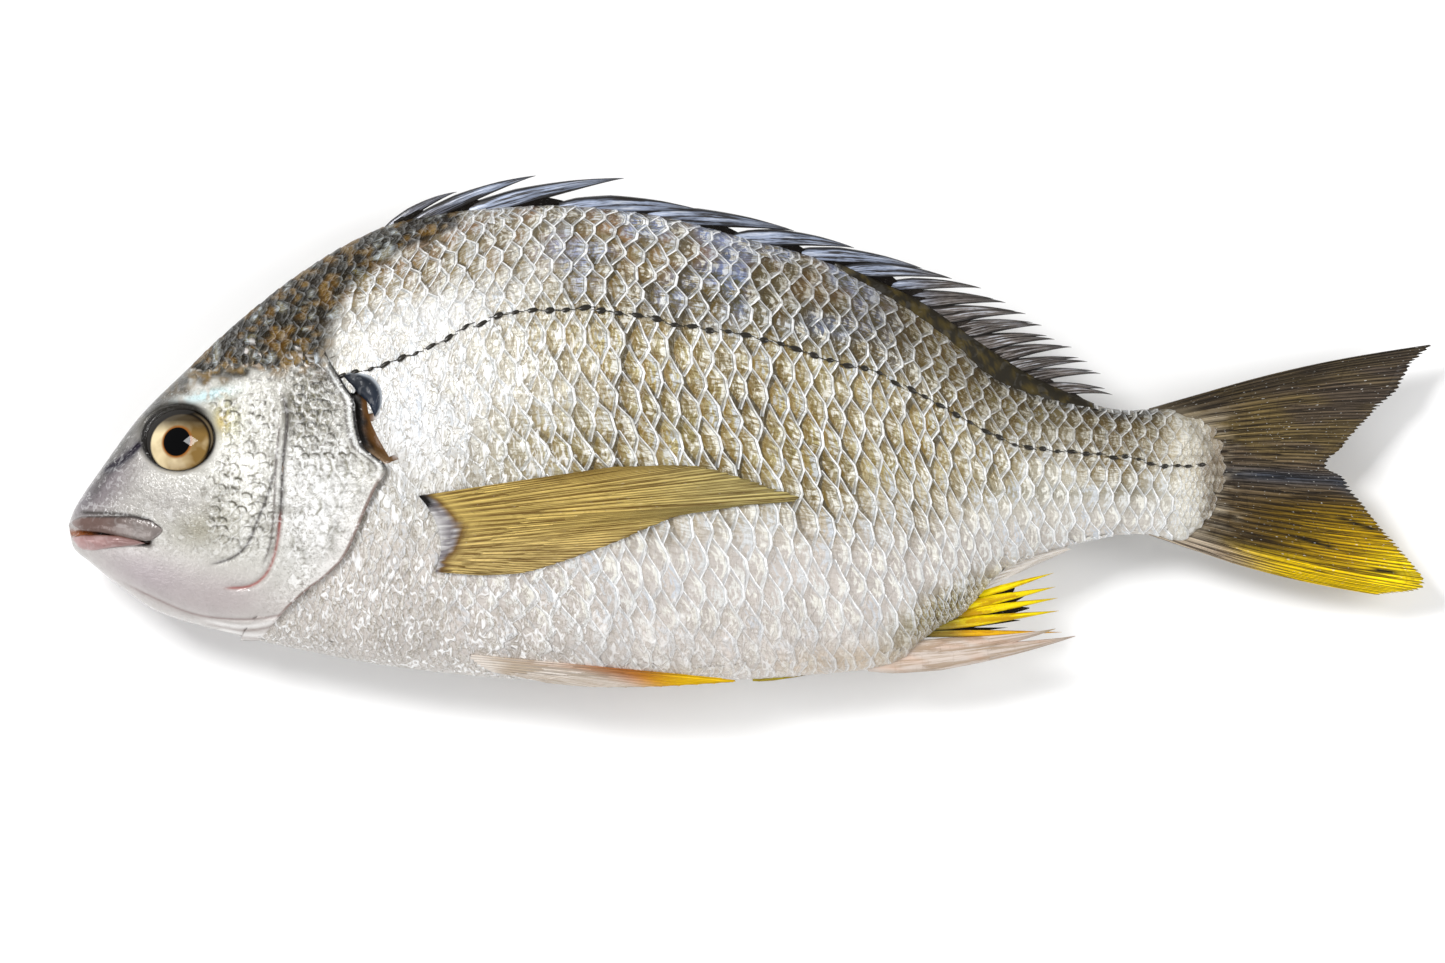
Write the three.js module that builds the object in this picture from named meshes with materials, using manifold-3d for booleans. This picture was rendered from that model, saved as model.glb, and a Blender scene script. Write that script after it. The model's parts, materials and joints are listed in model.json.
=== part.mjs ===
// A whole raw sea bream, lying on its right side with its left side up: one solid.
// Millimetres: +X runs from the snout to the tail, +Y from the belly to the back, +Z up from the table.
// The origin is on the table, under the middle of the fish's own box.
// Outlines hold [distance behind the snout, height above the middle of the fish's length line].
import * as THREE from "three";
import { mergeVertices } from "three/addons/utils/BufferGeometryUtils.js";
import Module from "manifold-3d";

const wasm = await Module();
wasm.setup();

// ---------------------------------------------------------------- driving dimensions
const TOTAL_LENGTH = 320; // snout to the tip of the upper tail lobe
const TRUNK_END = 269.4; // where the scaled tail root ends
const REST_HEIGHT = 20; // the trunk's middle plane above the table
const TAIL_DROOP = 9; // how far the tail tips hang below that plane
const COVER_RISE = 1.5; // step of the gill cover over the trunk
const COVER_FADE = 13; // distance over which that step fades forwards
const HEAD_LIFT = 0.35; // least step between head and trunk
const HEAD_OVERLAP = 3.5; // how far the trunk runs on under the gill cover
const EYE_RADIUS = 8.2;
const EYE_BULGE = 2.3;
const GROOVE_TOP = 1.2; // how far a cutter stands out of the skin
const RIDGE_ROOT = 1.2; // how far a ridge reaches into the skin

// ---------------------------------------------------------------- outline and thickness of the body
const BACK = [
  [0, -21.4], [0.9, -18.8], [2.6, -15.8], [7.3, -9], [16.6, 3.6], [26, 13], [40, 25.9], [54.1, 36.9],
  [68.1, 45.3], [77.5, 49], [90.6, 51.4], [106.5, 52.6], [115.4, 52.9], [133.7, 51.1], [154.5, 46.2],
  [176.3, 39.9], [194.3, 31], [208.1, 21], [214.4, 14.9], [222.2, 10.9], [239, 6.3], [248.4, 4.8],
  [256.3, 5.3], [262.4, 3.2], [267.1, -2], [TRUNK_END, -7.8],
];
const BELLY = [
  [0, -22.8], [0.9, -27], [4.4, -30.2], [14, -37.8], [20.4, -42], [31.1, -45.5], [54.3, -50.9],
  [77.5, -55.1], [105.6, -57.9], [124.3, -58.6], [147.7, -58.3], [185.2, -55.8], [193.8, -54],
  [202, -46.9], [209, -42.7], [218.9, -32.4], [233.6, -26.7], [251.4, -23.8], [260.1, -25.6],
  [264.8, -22.6], [267.6, -17.2], [TRUNK_END, -7.9],
];
const HALF_THICKNESS = [
  [0, 1.2], [1, 2.8], [3, 4.9], [7, 7.4], [14, 10.4], [26, 14], [40, 17.4], [55, 20], [70, 21.5],
  [90, 22.2], [115, 22], [135, 21.2], [155, 19.4], [175, 16.6], [195, 13], [215, 9.6], [235, 7.1],
  [250, 5.9], [258, 5.2], [264, 3.8], [267.5, 2.3], [TRUNK_END, 0.9],
];
const WIDEST_AT = [[0, 0.5], [30, 0.43], [60, 0.48], [100, 0.54], [160, 0.55], [220, 0.5], [TRUNK_END, 0.5]];
const BACK_ROUNDNESS = [[0, 0.5], [20, 0.58], [60, 0.64], [200, 0.6], [250, 0.5], [TRUNK_END, 0.5]];
const BELLY_ROUNDNESS = [[0, 0.5], [60, 0.52], [150, 0.5], [190, 0.6], [220, 0.55], [TRUNK_END, 0.5]];
const MIDDLE_PLANE = [
  [0, REST_HEIGHT - 1.5], [60, REST_HEIGHT], [170, REST_HEIGHT], [250, REST_HEIGHT - 3],
  [TOTAL_LENGTH, REST_HEIGHT - TAIL_DROOP],
];

// ---------------------------------------------------------------- the head's lines
const GILL_EDGE = [ // the rear edge of the gill cover, with the point of its spine in the middle
  [42.4, -58.2], [45.2, -48.8], [50.8, -41.8], [55.9, -37.1], [61.3, -32.9], [65.1, -28.7], [67.7, -23.3],
  [70, -17.9], [72.6, -12.3], [74.7, -8.8], [69.1, -3.2], [67.7, 2], [67.2, 6.9], [64.8, 10.7],
  [61.6, 16.3], [58.1, 24.5], [55.5, 32], [54, 40], [53, 50],
];
const COVER_TOP = 24; // the gill cover's step fades out above this height
const COVER_BOTTOM = -40; // and below this one
const COVER_FADE_HEIGHT = 8;
const CHEEK_GROOVE = [
  [49.9, 10.2], [51.7, 3.6], [50.8, -7.1], [50.3, -17.9], [49.4, -25.9], [47.2, -32.5], [43, -36],
  [36, -36.6],
];
const INNER_CHEEK_GROOVE = [[49.2, -8], [47.3, -14.6], [44.7, -21], [42.4, -26.3], [38.6, -29.6], [32.8, -31.3]];
const JAW_FOLD = [
  [10.8, -34.3], [19.4, -38.5], [28.1, -42.2], [35.6, -43.6], [45.2, -43.6], [54.1, -41.4], [62.3, -35.4],
  [67, -27],
];
const MOUTH_LINE = [[0, -23.4], [5.4, -23.5], [11.2, -24.2], [15.7, -25.2], [20, -26]];
const UPPER_LIP = [[1.2, -21.6], [4.5, -21], [9.6, -21.2], [15.4, -22.2], [20.5, -24]];
const UPPER_JAW = [[5, -18.4], [11, -18.9], [16, -19.9], [21, -22.2]];
const LOWER_LIP = [[1.6, -25.4], [4.5, -25.9], [8.4, -26.2], [12.4, -26.8], [16.5, -27.6]];
const NOSTRIL = [[9.3, -8.6], [14.2, -5.7]];
const EYE_CENTRE = [26, -1.6];

// ---------------------------------------------------------------- the fins' lines
const DORSAL_TIP_LINE = [
  [90.8, 56.1], [109.3, 59.9], [129.9, 59.3], [148.9, 51.5], [169.7, 47], [183.8, 43], [199.7, 38.2],
  [213.5, 33.6], [224, 26.8], [234.8, 18.6], [244.4, 8.3],
];
const DORSAL_TIPS = [
  90.8, 109.3, 129.9, 148.9, 169.7, 183.8, 199.7, 206.7, 213.5, 219.3, 224, 227.8, 231, 234.8, 238.5,
  241.6, 244.4,
];
const DORSAL_LENGTHS = [
  [90.8, 17], [109.3, 29], [129.9, 38], [148.9, 35], [183.8, 29], [199.7, 29], [213.5, 25], [224, 22],
  [244.4, 18],
];
const SHEATH_TOP = [[178, 40.3], [186.8, 36.4], [199.2, 30.5], [211.9, 21.7], [226.4, 12.5], [240, 6.6]];
const TAIL_ROOT = [[252, 4.8], [257, 4], [262, -0.5], [264, -8], [262, -17], [257.5, -22.8], [252, -23.6]];
const TAIL_TIPS = [
  [320, 20.2], [317.4, 17.4], [314.4, 14.6], [310.6, 8.5], [302.9, 1.3], [298, -3.6], [293.3, -8.3],
  [299.2, -11.4], [306, -20.5], [312.5, -27.7], [317.9, -36.2], [307, -38.4],
];
const PECTORAL_ROOT = [[83.3, -15.4], [81.9, -18.4], [82.2, -24.2], [84.2, -30.1], [85.9, -32.8]];
const PECTORAL_TIPS = [
  [128, -8.2], [147, -8], [159, -11], [172.5, -15.6], [160.6, -17], [151.2, -18.4], [141.6, -20.2],
  [125.9, -26.8], [109.1, -32.5], [97.8, -33.6],
];
const PELVIC_ROOT = [[93.9, -52.3], [96.6, -54.4], [99.5, -55.8]];
const PELVIC_TIPS = [[143, -56.8], [156.8, -58.3], [146, -59.3], [133.7, -59.8], [122, -59.7], [112, -58.8]];
const ANAL_SPINES = [
  { base: [187, -54.2], tip: [235.7, -47.9], width: 6 },
  { base: [193, -51], tip: [232.9, -46.4], width: 6.5 },
];
const ANAL_ROOT = [[198, -48.5], [205, -44], [211, -40], [216, -35]];
const ANAL_TIPS = [[222.5, -45.8], [232, -42.6], [231.7, -39.4], [230.6, -33.1], [224, -31]];
const LAST_WEB_ROOT = [[213, -37.5], [217.5, -32.8], [222, -29.6]];
const LAST_WEB_TIPS = [[226.5, -31.2], [235, -27.5], [232, -26.4]];

// ---------------------------------------------------------------- curves
// A smooth function through the points that never swings past them.
function through(points) {
  const rise = points.slice(1).map((p, i) => (p[1] - points[i][1]) / (p[0] - points[i][0]));
  const slopeAt = (i) => {
    if (i === 0) return rise[0];
    if (i === rise.length) return rise[i - 1];
    return rise[i - 1] * rise[i] <= 0 ? 0 : (2 * rise[i - 1] * rise[i]) / (rise[i - 1] + rise[i]);
  };
  return (at) => {
    let i = 0;
    while (i < points.length - 2 && at > points[i + 1][0]) i++;
    const [x0, y0] = points[i];
    const [x1, y1] = points[i + 1];
    const t = THREE.MathUtils.clamp((at - x0) / (x1 - x0), 0, 1);
    const [m0, m1] = [slopeAt(i) * (x1 - x0), slopeAt(i + 1) * (x1 - x0)];
    const [t2, t3] = [t * t, t * t * t];
    return (2 * t3 - 3 * t2 + 1) * y0 + (t3 - 2 * t2 + t) * m0 + (3 * t2 - 2 * t3) * y1 + (t3 - t2) * m1;
  };
}

// A free curve in the plane of the fish's side.
function curveOf(points) {
  return new THREE.SplineCurve(points.map(([d, y]) => new THREE.Vector2(d, y)));
}

const backLine = through(BACK);
const bellyLine = through(BELLY);
const halfThickness = through(HALF_THICKNESS);
const widestAt = through(WIDEST_AT);
const backRoundness = through(BACK_ROUNDNESS);
const bellyRoundness = through(BELLY_ROUNDNESS);
const middlePlane = through(MIDDLE_PLANE);
const gillEdge = through(GILL_EDGE.map(([d, y]) => [y, d]));

// ---------------------------------------------------------------- the skin as a height on both sides of the middle
function trunkSkin(d, y) {
  const [top, bottom] = [backLine(d), bellyLine(d)];
  const up = THREE.MathUtils.clamp((y - bottom) / (top - bottom), 0, 1);
  const widest = widestAt(d);
  const out = up > widest ? (up - widest) / (1 - widest) : (widest - up) / widest;
  const roundness = up > widest ? backRoundness(d) : bellyRoundness(d);
  return halfThickness(d) * Math.pow(Math.max(0, 1 - out * out), roundness);
}

const fadeBetween = THREE.MathUtils.smoothstep;

// The gill cover stands over the trunk and falls away forwards to the cheek.
function headSkin(d, y) {
  const bare = trunkSkin(d, y);
  const ahead = Math.max(0, gillEdge(y) - d);
  const height =
    fadeBetween(y, COVER_BOTTOM - COVER_FADE_HEIGHT, COVER_BOTTOM) *
    (1 - fadeBetween(y, COVER_TOP - COVER_FADE_HEIGHT, COVER_TOP));
  const step = HEAD_LIFT + COVER_RISE * height * Math.exp(-ahead / COVER_FADE);
  const atOutline = Math.min(1, (2 * bare) / halfThickness(d));
  return bare + step * atOutline;
}

function skinPoint(skin, d, y, side, out = 0) {
  return [d, y, middlePlane(d) + side * (skin(d, y) + out)];
}

// ---------------------------------------------------------------- solids
// Closed rings of equal count, joined one to the next, with both ends closed by strips across the ring.
function solidThroughRings(rings) {
  const count = rings[0].length;
  const faces = [];
  const quad = (a, b, c, d) => faces.push(a, b, c, a, c, d);
  for (let r = 0; r < rings.length - 1; r++)
    for (let k = 0; k < count; k++) {
      const next = (k + 1) % count;
      quad(r * count + k, r * count + next, (r + 1) * count + next, (r + 1) * count + k);
    }
  const last = (rings.length - 1) * count;
  for (let k = 0; k < count / 2 - 1; k++) {
    quad(count - 1 - k, count - 2 - k, k + 1, k);
    quad(last + k, last + k + 1, last + count - 2 - k, last + count - 1 - k);
  }
  const geometry = new THREE.BufferGeometry();
  geometry.setAttribute("position", new THREE.Float32BufferAttribute(rings.flat(2), 3));
  geometry.setIndex(faces);
  return solidOf(geometry);
}

// A closed three.js geometry as a solid with its faces pointing out.
function solidOf(geometry) {
  const bare = geometry.clone();
  bare.deleteAttribute("normal");
  bare.deleteAttribute("uv");
  const merged = mergeVertices(bare, 1e-4);
  const corners = merged.attributes.position.array;
  const faces = new Uint32Array(merged.index.array);
  const corner = (i) => new THREE.Vector3().fromArray(corners, 3 * faces[i]);
  let volume = 0;
  for (let i = 0; i < faces.length; i += 3) volume += corner(i).dot(corner(i + 1).cross(corner(i + 2)));
  if (volume < 0) faces.reverse();
  return new wasm.Manifold(new wasm.Mesh({ numProp: 3, vertProperties: corners, triVerts: faces }));
}

// The body between two stations, as rings that start at the back and run round the upper side first.
function body(skin, stations, stepsPerSide) {
  const ring = (d) => {
    const [top, bottom, widest] = [backLine(d), bellyLine(d), widestAt(d)];
    return Array.from({ length: 2 * stepsPerSide }, (_, k) => {
      const turn = Math.cos((Math.PI * k) / stepsPerSide);
      const up = widest + turn * (turn > 0 ? 1 - widest : widest);
      return skinPoint(skin, d, bottom + (top - bottom) * up, k < stepsPerSide ? 1 : -1);
    });
  };
  return solidThroughRings(stations.map(ring));
}

// A section carried along a line on the skin: [across, out] pairs, narrowing towards both ends.
function alongSkin(line, section, side, steps, skin = headSkin) {
  const curve = curveOf(line);
  const rings = Array.from({ length: steps + 1 }, (_, i) => {
    const t = i / steps;
    const full = Math.min(1, 0.25 + 4 * t, 0.25 + 4 * (1 - t));
    const at = curve.getPointAt(t);
    const way = curve.getTangentAt(t);
    return section.map(([across, out]) =>
      skinPoint(skin, at.x - way.y * across * full, at.y + way.x * across * full, side, out * full),
    );
  });
  return solidThroughRings(rings);
}

function groove(line, width, depth, side, steps = 6) {
  const half = width / 2;
  const section = [[-half, GROOVE_TOP], [half, GROOVE_TOP], [half / 4, -depth], [-half / 4, -depth]];
  return alongSkin(line, section, side, steps);
}

function ridge(line, width, height, side, steps = 5) {
  const half = width / 2;
  const section = [[-half, -RIDGE_ROOT], [-half / 2, height], [half / 2, height], [half, -RIDGE_ROOT]];
  return alongSkin(line, section, side, steps);
}

// A ball pressed flat against the skin, standing out of it by the bulge.
function domeOnSkin([d, y], radius, bulge, side) {
  const step = 1;
  const slopeX = (headSkin(d + step, y) - headSkin(d - step, y)) / (2 * step);
  const slopeY = (headSkin(d, y + step) - headSkin(d, y - step)) / (2 * step);
  const facing = new THREE.Vector3(-slopeX, -slopeY, 1).normalize();
  facing.z *= side;
  const ball = new THREE.SphereGeometry(1, 18, 8).scale(radius, bulge * 2, radius);
  ball.applyQuaternion(new THREE.Quaternion().setFromUnitVectors(new THREE.Vector3(0, 1, 0), facing));
  const [x, yy, z] = skinPoint(headSkin, d, y, side, -bulge);
  return solidOf(ball.translate(x, yy, z));
}

// A tapering spine or ray with a four-sided section.
function spine({ base, tip, width, thickness, shift = 0, bow = 0 }) {
  const [start, end] = [new THREE.Vector2(...base), new THREE.Vector2(...tip)];
  const way = end.clone().sub(start).normalize();
  const rings = [[0, 1], [0.3, 0.95], [0.6, 0.68], [0.85, 0.32], [1, 0.05]].map(([t, taper]) => {
    const at = start.clone().lerp(end, t);
    const lift = bow * Math.sin(Math.PI * t);
    const [x, y] = [at.x - way.y * lift, at.y + way.x * lift];
    const z = middlePlane(x) + shift * (1 - 0.5 * t);
    const [w, h] = [(width / 2) * taper, (thickness / 2) * taper];
    return [
      [x - way.y * w, y + way.x * w, z],
      [x, y, z + h],
      [x + way.y * w, y - way.x * w, z],
      [x, y, z - h],
    ];
  });
  return solidThroughRings(rings);
}

// Rays spread evenly from a root line to a line of tips.
function raysBetween(rootLine, tipLine, count) {
  const [roots, tips] = [curveOf(rootLine), curveOf(tipLine)];
  return Array.from({ length: count }, (_, i) => {
    const across = i / (count - 1);
    return { root: roots.getPointAt(across), tip: tips.getPointAt(across) };
  });
}

// A web stretched over rays; between two rays it ends a little short of their tips.
// Its middle lies at height(d, y); where it lies on the body, innerFace(d, y) is sunk into the skin.
function fin({ rays, steps, rayThickness, webThickness, webReach, bow = () => 0, height, side = 1, innerFace }) {
  const columns = rays.flatMap((ray, i) => {
    const next = rays[i + 1];
    if (!next) return [ray];
    const root = ray.root.clone().lerp(next.root, 0.5);
    const tip = root.clone().lerp(ray.tip.clone().lerp(next.tip, 0.5), webReach);
    return [ray, { root, tip }];
  });
  const rings = Array.from({ length: steps + 1 }, (_, s) => {
    const t = s / steps;
    const outer = [];
    const inner = [];
    columns.forEach((column, c) => {
      const at = column.root.clone().lerp(column.tip, t);
      at.y += bow(c / (columns.length - 1)) * Math.sin(Math.PI * t);
      const half = ((c % 2 ? webThickness : rayThickness) / 2) * (1 - 0.45 * t);
      const z = height(at.x, at.y);
      outer.push([at.x, at.y, z + side * half]);
      inner.push([at.x, at.y, innerFace ? innerFace(at.x, at.y) : z - side * half]);
    });
    return [...outer, ...inner.reverse()];
  });
  return solidThroughRings(rings);
}

// ---------------------------------------------------------------- head
const HEAD_STATIONS = [
  0, 0.5, 1.5, 3.2, 6, 9.5, 13.5, 18, 22.5, 27, 31.5, 36, 40.5, 45, 49.5, 54, 58.5, 63, 67.5, 72, 77,
];

// The outline of the head seen from the side, as a prism through the whole fish.
function headPrism(pulledForward) {
  const edge = curveOf(GILL_EDGE.map(([d, y]) => [d - pulledForward, y])).getPoints(24);
  const outline = new THREE.Shape([new THREE.Vector2(-20, -70), ...edge, new THREE.Vector2(-20, 60)]);
  const prism = new THREE.ExtrudeGeometry(outline, { depth: 4 * REST_HEIGHT, bevelEnabled: false });
  return solidOf(prism.translate(0, 0, -REST_HEIGHT));
}

function eye(head, side) {
  const socket = domeOnSkin(EYE_CENTRE, EYE_RADIUS + 1.3, 1.3, side);
  return head.subtract(socket).add(domeOnSkin(EYE_CENTRE, EYE_RADIUS, EYE_BULGE, side));
}

function mouth(head, side) {
  let shaped = head;
  for (const [line, width, height] of [[UPPER_JAW, 5, 0.7], [UPPER_LIP, 3.4, 1.2], [LOWER_LIP, 3.2, 1.1]])
    shaped = shaped.add(ridge(line, width, height, side));
  return shaped.subtract(groove(MOUTH_LINE, 1.5, 2.2, side));
}

function buildHead() {
  let head = body(headSkin, HEAD_STATIONS, 15).intersect(headPrism(0));
  for (const side of [1, -1]) {
    head = mouth(eye(head, side), side);
    head = head.subtract(groove(CHEEK_GROOVE, 2.2, 1.1, side, 9));
    head = head.subtract(groove(INNER_CHEEK_GROOVE, 1.6, 0.6, side, 6));
    head = head.subtract(groove(JAW_FOLD, 1.8, 0.8, side, 9));
    head = head.subtract(groove(NOSTRIL, 1.3, 1.1, side, 3));
  }
  return head;
}

// ---------------------------------------------------------------- trunk
const TRUNK_STEP = 6.5;

function buildTrunk() {
  const start = 34;
  const evenSteps = Math.round((250 - start) / TRUNK_STEP);
  const stations = Array.from({ length: evenSteps + 1 }, (_, i) => start + ((250 - start) * i) / evenSteps);
  stations.push(254, 258, 261.5, 264.5, 267, 268.7, TRUNK_END);
  const trunk = body(trunkSkin, stations, 14);
  return trunk.subtract(headPrism(HEAD_OVERLAP));
}

// ---------------------------------------------------------------- fins
// The folded back fin: spines and soft rays that lie back over each other, and the scaled sheath at their foot.
function dorsalFin() {
  const [tipLine, lengthOf] = [DORSAL_TIP_LINE, DORSAL_LENGTHS].map(through);
  const rays = DORSAL_TIPS.map((tipAt) => {
    const rootAt = tipAt - lengthOf(tipAt);
    return {
      root: new THREE.Vector2(rootAt, backLine(rootAt) - 2.5),
      tip: new THREE.Vector2(tipAt, tipLine(tipAt)),
    };
  });
  const folded = fin({
    rays, steps: 4, rayThickness: 3, webThickness: 1.4, webReach: 0.8, bow: () => 2, height: middlePlane,
  });
  return [folded, bandOnBack(SHEATH_TOP, 5.2, 2, 8)];
}

// A band that rises from the back to a top line, thinning upwards.
function bandOnBack(topLine, footThickness, topThickness, steps) {
  const top = through(topLine);
  const [start, end] = [topLine[0][0], topLine.at(-1)[0]];
  const [foot, crest] = [footThickness / 2, topThickness / 2];
  const rings = Array.from({ length: steps + 1 }, (_, i) => {
    const d = start + ((end - start) * i) / steps;
    const z = middlePlane(d);
    const [low, high] = [backLine(d) - 4, top(d)];
    return [[d, low, z - foot], [d, high, z - crest], [d, high, z + crest], [d, low, z + foot]];
  });
  return solidThroughRings(rings);
}

function tailFin() {
  return fin({
    rays: raysBetween(TAIL_ROOT, TAIL_TIPS, 21), steps: 4, rayThickness: 2, webThickness: 1.2, webReach: 0.975,
    bow: (across) => 0.7 * (1 - 2 * across), height: middlePlane,
  });
}

// The breast fin lies back flat against the flank.
function pectoralFin(side) {
  const onSkin = (out) => (d, y) => skinPoint(trunkSkin, d, y, side, out)[2];
  return fin({
    rays: raysBetween(PECTORAL_ROOT, PECTORAL_TIPS, 12), steps: 5, rayThickness: 2.2, webThickness: 1.2,
    webReach: 0.985, height: onSkin(0.4), side, innerFace: onSkin(-1.5),
  });
}

// The belly fin lies back along the belly's edge.
function pelvicFin(side) {
  const leastOut = 4.6; // beyond the belly's edge it stays this far from the middle plane
  const onSkin = (out) => (d, y) => middlePlane(d) + side * (Math.max(leastOut, trunkSkin(d, y)) + out);
  return fin({
    rays: raysBetween(PELVIC_ROOT, PELVIC_TIPS, 5), steps: 4, rayThickness: 2.2, webThickness: 1.4,
    webReach: 0.97, height: onSkin(0.4), side, innerFace: onSkin(-1.6),
  });
}

function analFin() {
  const spines = ANAL_SPINES.map((size, i) => spine({ ...size, thickness: 3, shift: 0.6 - i, bow: -1.5 }));
  const soft = fin({
    rays: raysBetween(ANAL_ROOT, ANAL_TIPS, 6), steps: 3, rayThickness: 1.8, webThickness: 1,
    webReach: 0.86, height: middlePlane,
  });
  const lastWeb = fin({
    rays: raysBetween(LAST_WEB_ROOT, LAST_WEB_TIPS, 3), steps: 2, rayThickness: 1.4, webThickness: 1,
    webReach: 0.95, height: middlePlane,
  });
  return [...spines, soft, lastWeb];
}

// ---------------------------------------------------------------- the whole fish
function table() {
  return solidOf(new THREE.BoxGeometry(2 * TOTAL_LENGTH, TOTAL_LENGTH, 60).translate(TOTAL_LENGTH / 2, 0, -30));
}

function buildFish() {
  const sides = [1, -1];
  const fins = [...dorsalFin(), tailFin(), ...sides.map(pectoralFin), ...sides.map(pelvicFin), ...analFin()];
  const whole = fins.reduce((fish, piece) => fish.add(piece), buildTrunk().add(buildHead()));
  return whole.subtract(table());
}

function geometryOf(solid) {
  const mesh = solid.getMesh();
  const geometry = new THREE.BufferGeometry();
  geometry.setAttribute("position", new THREE.Float32BufferAttribute(mesh.vertProperties, 3));
  geometry.setIndex(new THREE.Uint32BufferAttribute(mesh.triVerts, 1));
  geometry.computeBoundingBox();
  const middle = geometry.boundingBox.getCenter(new THREE.Vector3());
  return geometry.translate(-middle.x, -middle.y, 0);
}

const fish = new THREE.Mesh(
  geometryOf(buildFish()),
  new THREE.MeshStandardMaterial({ color: 0xb9b7a8, roughness: 0.35, metalness: 0.3 }),
);
fish.name = "fish";
fish.geometry.computeVertexNormals();

const part = new THREE.Group();
part.add(fish);
export default part;
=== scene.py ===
"""A whole raw sea bream on its right side: skin, scales, fins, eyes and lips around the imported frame.

Places are millimetres, [distance behind the snout, height above the fish's length line], and turn
into metres only in settle(). The skin is a height on both sides of the fish's middle plane.
"""
import json
from functools import partial

import bpy
import numpy as np
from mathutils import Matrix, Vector

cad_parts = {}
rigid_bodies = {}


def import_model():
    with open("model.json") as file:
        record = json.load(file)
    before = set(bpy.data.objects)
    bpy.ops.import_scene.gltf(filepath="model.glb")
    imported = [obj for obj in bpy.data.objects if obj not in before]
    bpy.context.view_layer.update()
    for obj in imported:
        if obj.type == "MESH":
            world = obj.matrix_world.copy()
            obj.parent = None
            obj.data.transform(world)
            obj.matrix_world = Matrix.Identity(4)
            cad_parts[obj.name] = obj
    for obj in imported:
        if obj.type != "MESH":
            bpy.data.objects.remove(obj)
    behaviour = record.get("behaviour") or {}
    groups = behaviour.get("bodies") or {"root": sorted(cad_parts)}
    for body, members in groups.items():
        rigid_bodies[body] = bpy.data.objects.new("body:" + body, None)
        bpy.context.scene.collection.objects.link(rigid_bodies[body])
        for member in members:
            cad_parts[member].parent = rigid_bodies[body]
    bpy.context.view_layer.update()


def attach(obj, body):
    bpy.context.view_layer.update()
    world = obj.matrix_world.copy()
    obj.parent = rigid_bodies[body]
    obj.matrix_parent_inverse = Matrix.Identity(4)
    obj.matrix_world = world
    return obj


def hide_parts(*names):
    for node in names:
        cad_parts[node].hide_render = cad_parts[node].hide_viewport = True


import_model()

# ------------------------------------------------------------------ sizes of the body
MM = 0.001
TOTAL_LENGTH = 320.0
TRUNK_END = 269.4  # where the scaled tail root ends
REST_HEIGHT = 20.0  # the middle plane above the table
TAIL_DROOP = 9.0
COVER_RISE = 1.5  # step of the gill cover over the trunk
COVER_FADE = 13.0
HEAD_LIFT = 0.35
PRESSED = 1.0  # the lowest millimetre of the fish is pressed flat
LINE_SHIFT = -0.03  # the length line against the middle of the box

BACK = [
    (0, -21.4), (0.9, -18.8), (2.6, -15.8), (7.3, -9), (16.6, 3.6), (26, 13), (40, 25.9), (54.1, 36.9),
    (68.1, 45.3), (77.5, 49), (90.6, 51.4), (106.5, 52.6), (115.4, 52.9), (133.7, 51.1), (154.5, 46.2),
    (176.3, 39.9), (194.3, 31), (208.1, 21), (214.4, 14.9), (222.2, 10.9), (239, 6.3), (248.4, 4.8),
    (256.3, 5.3), (262.4, 3.2), (267.1, -2), (TRUNK_END, -7.8),
]
BELLY = [
    (0, -22.8), (0.9, -27), (4.4, -30.2), (14, -37.8), (20.4, -42), (31.1, -45.5), (54.3, -50.9),
    (77.5, -55.1), (105.6, -57.9), (124.3, -58.6), (147.7, -58.3), (185.2, -55.8), (193.8, -54),
    (202, -46.9), (209, -42.7), (218.9, -32.4), (233.6, -26.7), (251.4, -23.8), (260.1, -25.6),
    (264.8, -22.6), (267.6, -17.2), (TRUNK_END, -7.9),
]
HALF_THICKNESS = [
    (0, 1.2), (1, 2.8), (3, 4.9), (7, 7.4), (14, 10.4), (26, 14), (40, 17.4), (55, 20), (70, 21.5),
    (90, 22.2), (115, 22), (135, 21.2), (155, 19.4), (175, 16.6), (195, 13), (215, 9.6), (235, 7.1),
    (250, 5.9), (258, 5.2), (264, 3.8), (267.5, 2.3), (TRUNK_END, 0.9),
]
WIDEST_AT = [(0, 0.5), (30, 0.43), (60, 0.48), (100, 0.54), (160, 0.55), (220, 0.5), (TRUNK_END, 0.5)]
BACK_ROUNDNESS = [(0, 0.5), (20, 0.58), (60, 0.64), (200, 0.6), (250, 0.5), (TRUNK_END, 0.5)]
BELLY_ROUNDNESS = [(0, 0.5), (60, 0.52), (150, 0.5), (190, 0.6), (220, 0.55), (TRUNK_END, 0.5)]
MIDDLE_PLANE = [
    (0, REST_HEIGHT - 1.5), (60, REST_HEIGHT), (170, REST_HEIGHT), (250, REST_HEIGHT - 3),
    (TOTAL_LENGTH, REST_HEIGHT - TAIL_DROOP),
]

# ------------------------------------------------------------------ lines on the head and the flank
GILL_EDGE = [
    (42.4, -58.2), (45.2, -48.8), (50.8, -41.8), (55.9, -37.1), (61.3, -32.9), (65.1, -28.7), (67.7, -23.3),
    (70, -17.9), (72.6, -12.3), (74.7, -8.8), (69.1, -3.2), (67.7, 2), (67.2, 6.9), (64.8, 10.7),
    (61.6, 16.3), (58.1, 24.5), (55.5, 32), (54, 40), (53, 50),
]
COVER_TOP, COVER_BOTTOM, COVER_FADE_HEIGHT = 24, -40, 8
CHEEK_GROOVE = [
    (49.9, 10.2), (51.7, 3.6), (50.8, -7.1), (50.3, -17.9), (49.4, -25.9), (47.2, -32.5), (43, -36),
    (36, -36.6),
]
INNER_CHEEK_GROOVE = [(49.2, -8), (47.3, -14.6), (44.7, -21), (42.4, -26.3), (38.6, -29.6), (32.8, -31.3)]
JAW_FOLD = [
    (10.8, -34.3), (19.4, -38.5), (28.1, -42.2), (35.6, -43.6), (45.2, -43.6), (54.1, -41.4), (62.3, -35.4),
    (67, -27),
]
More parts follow.
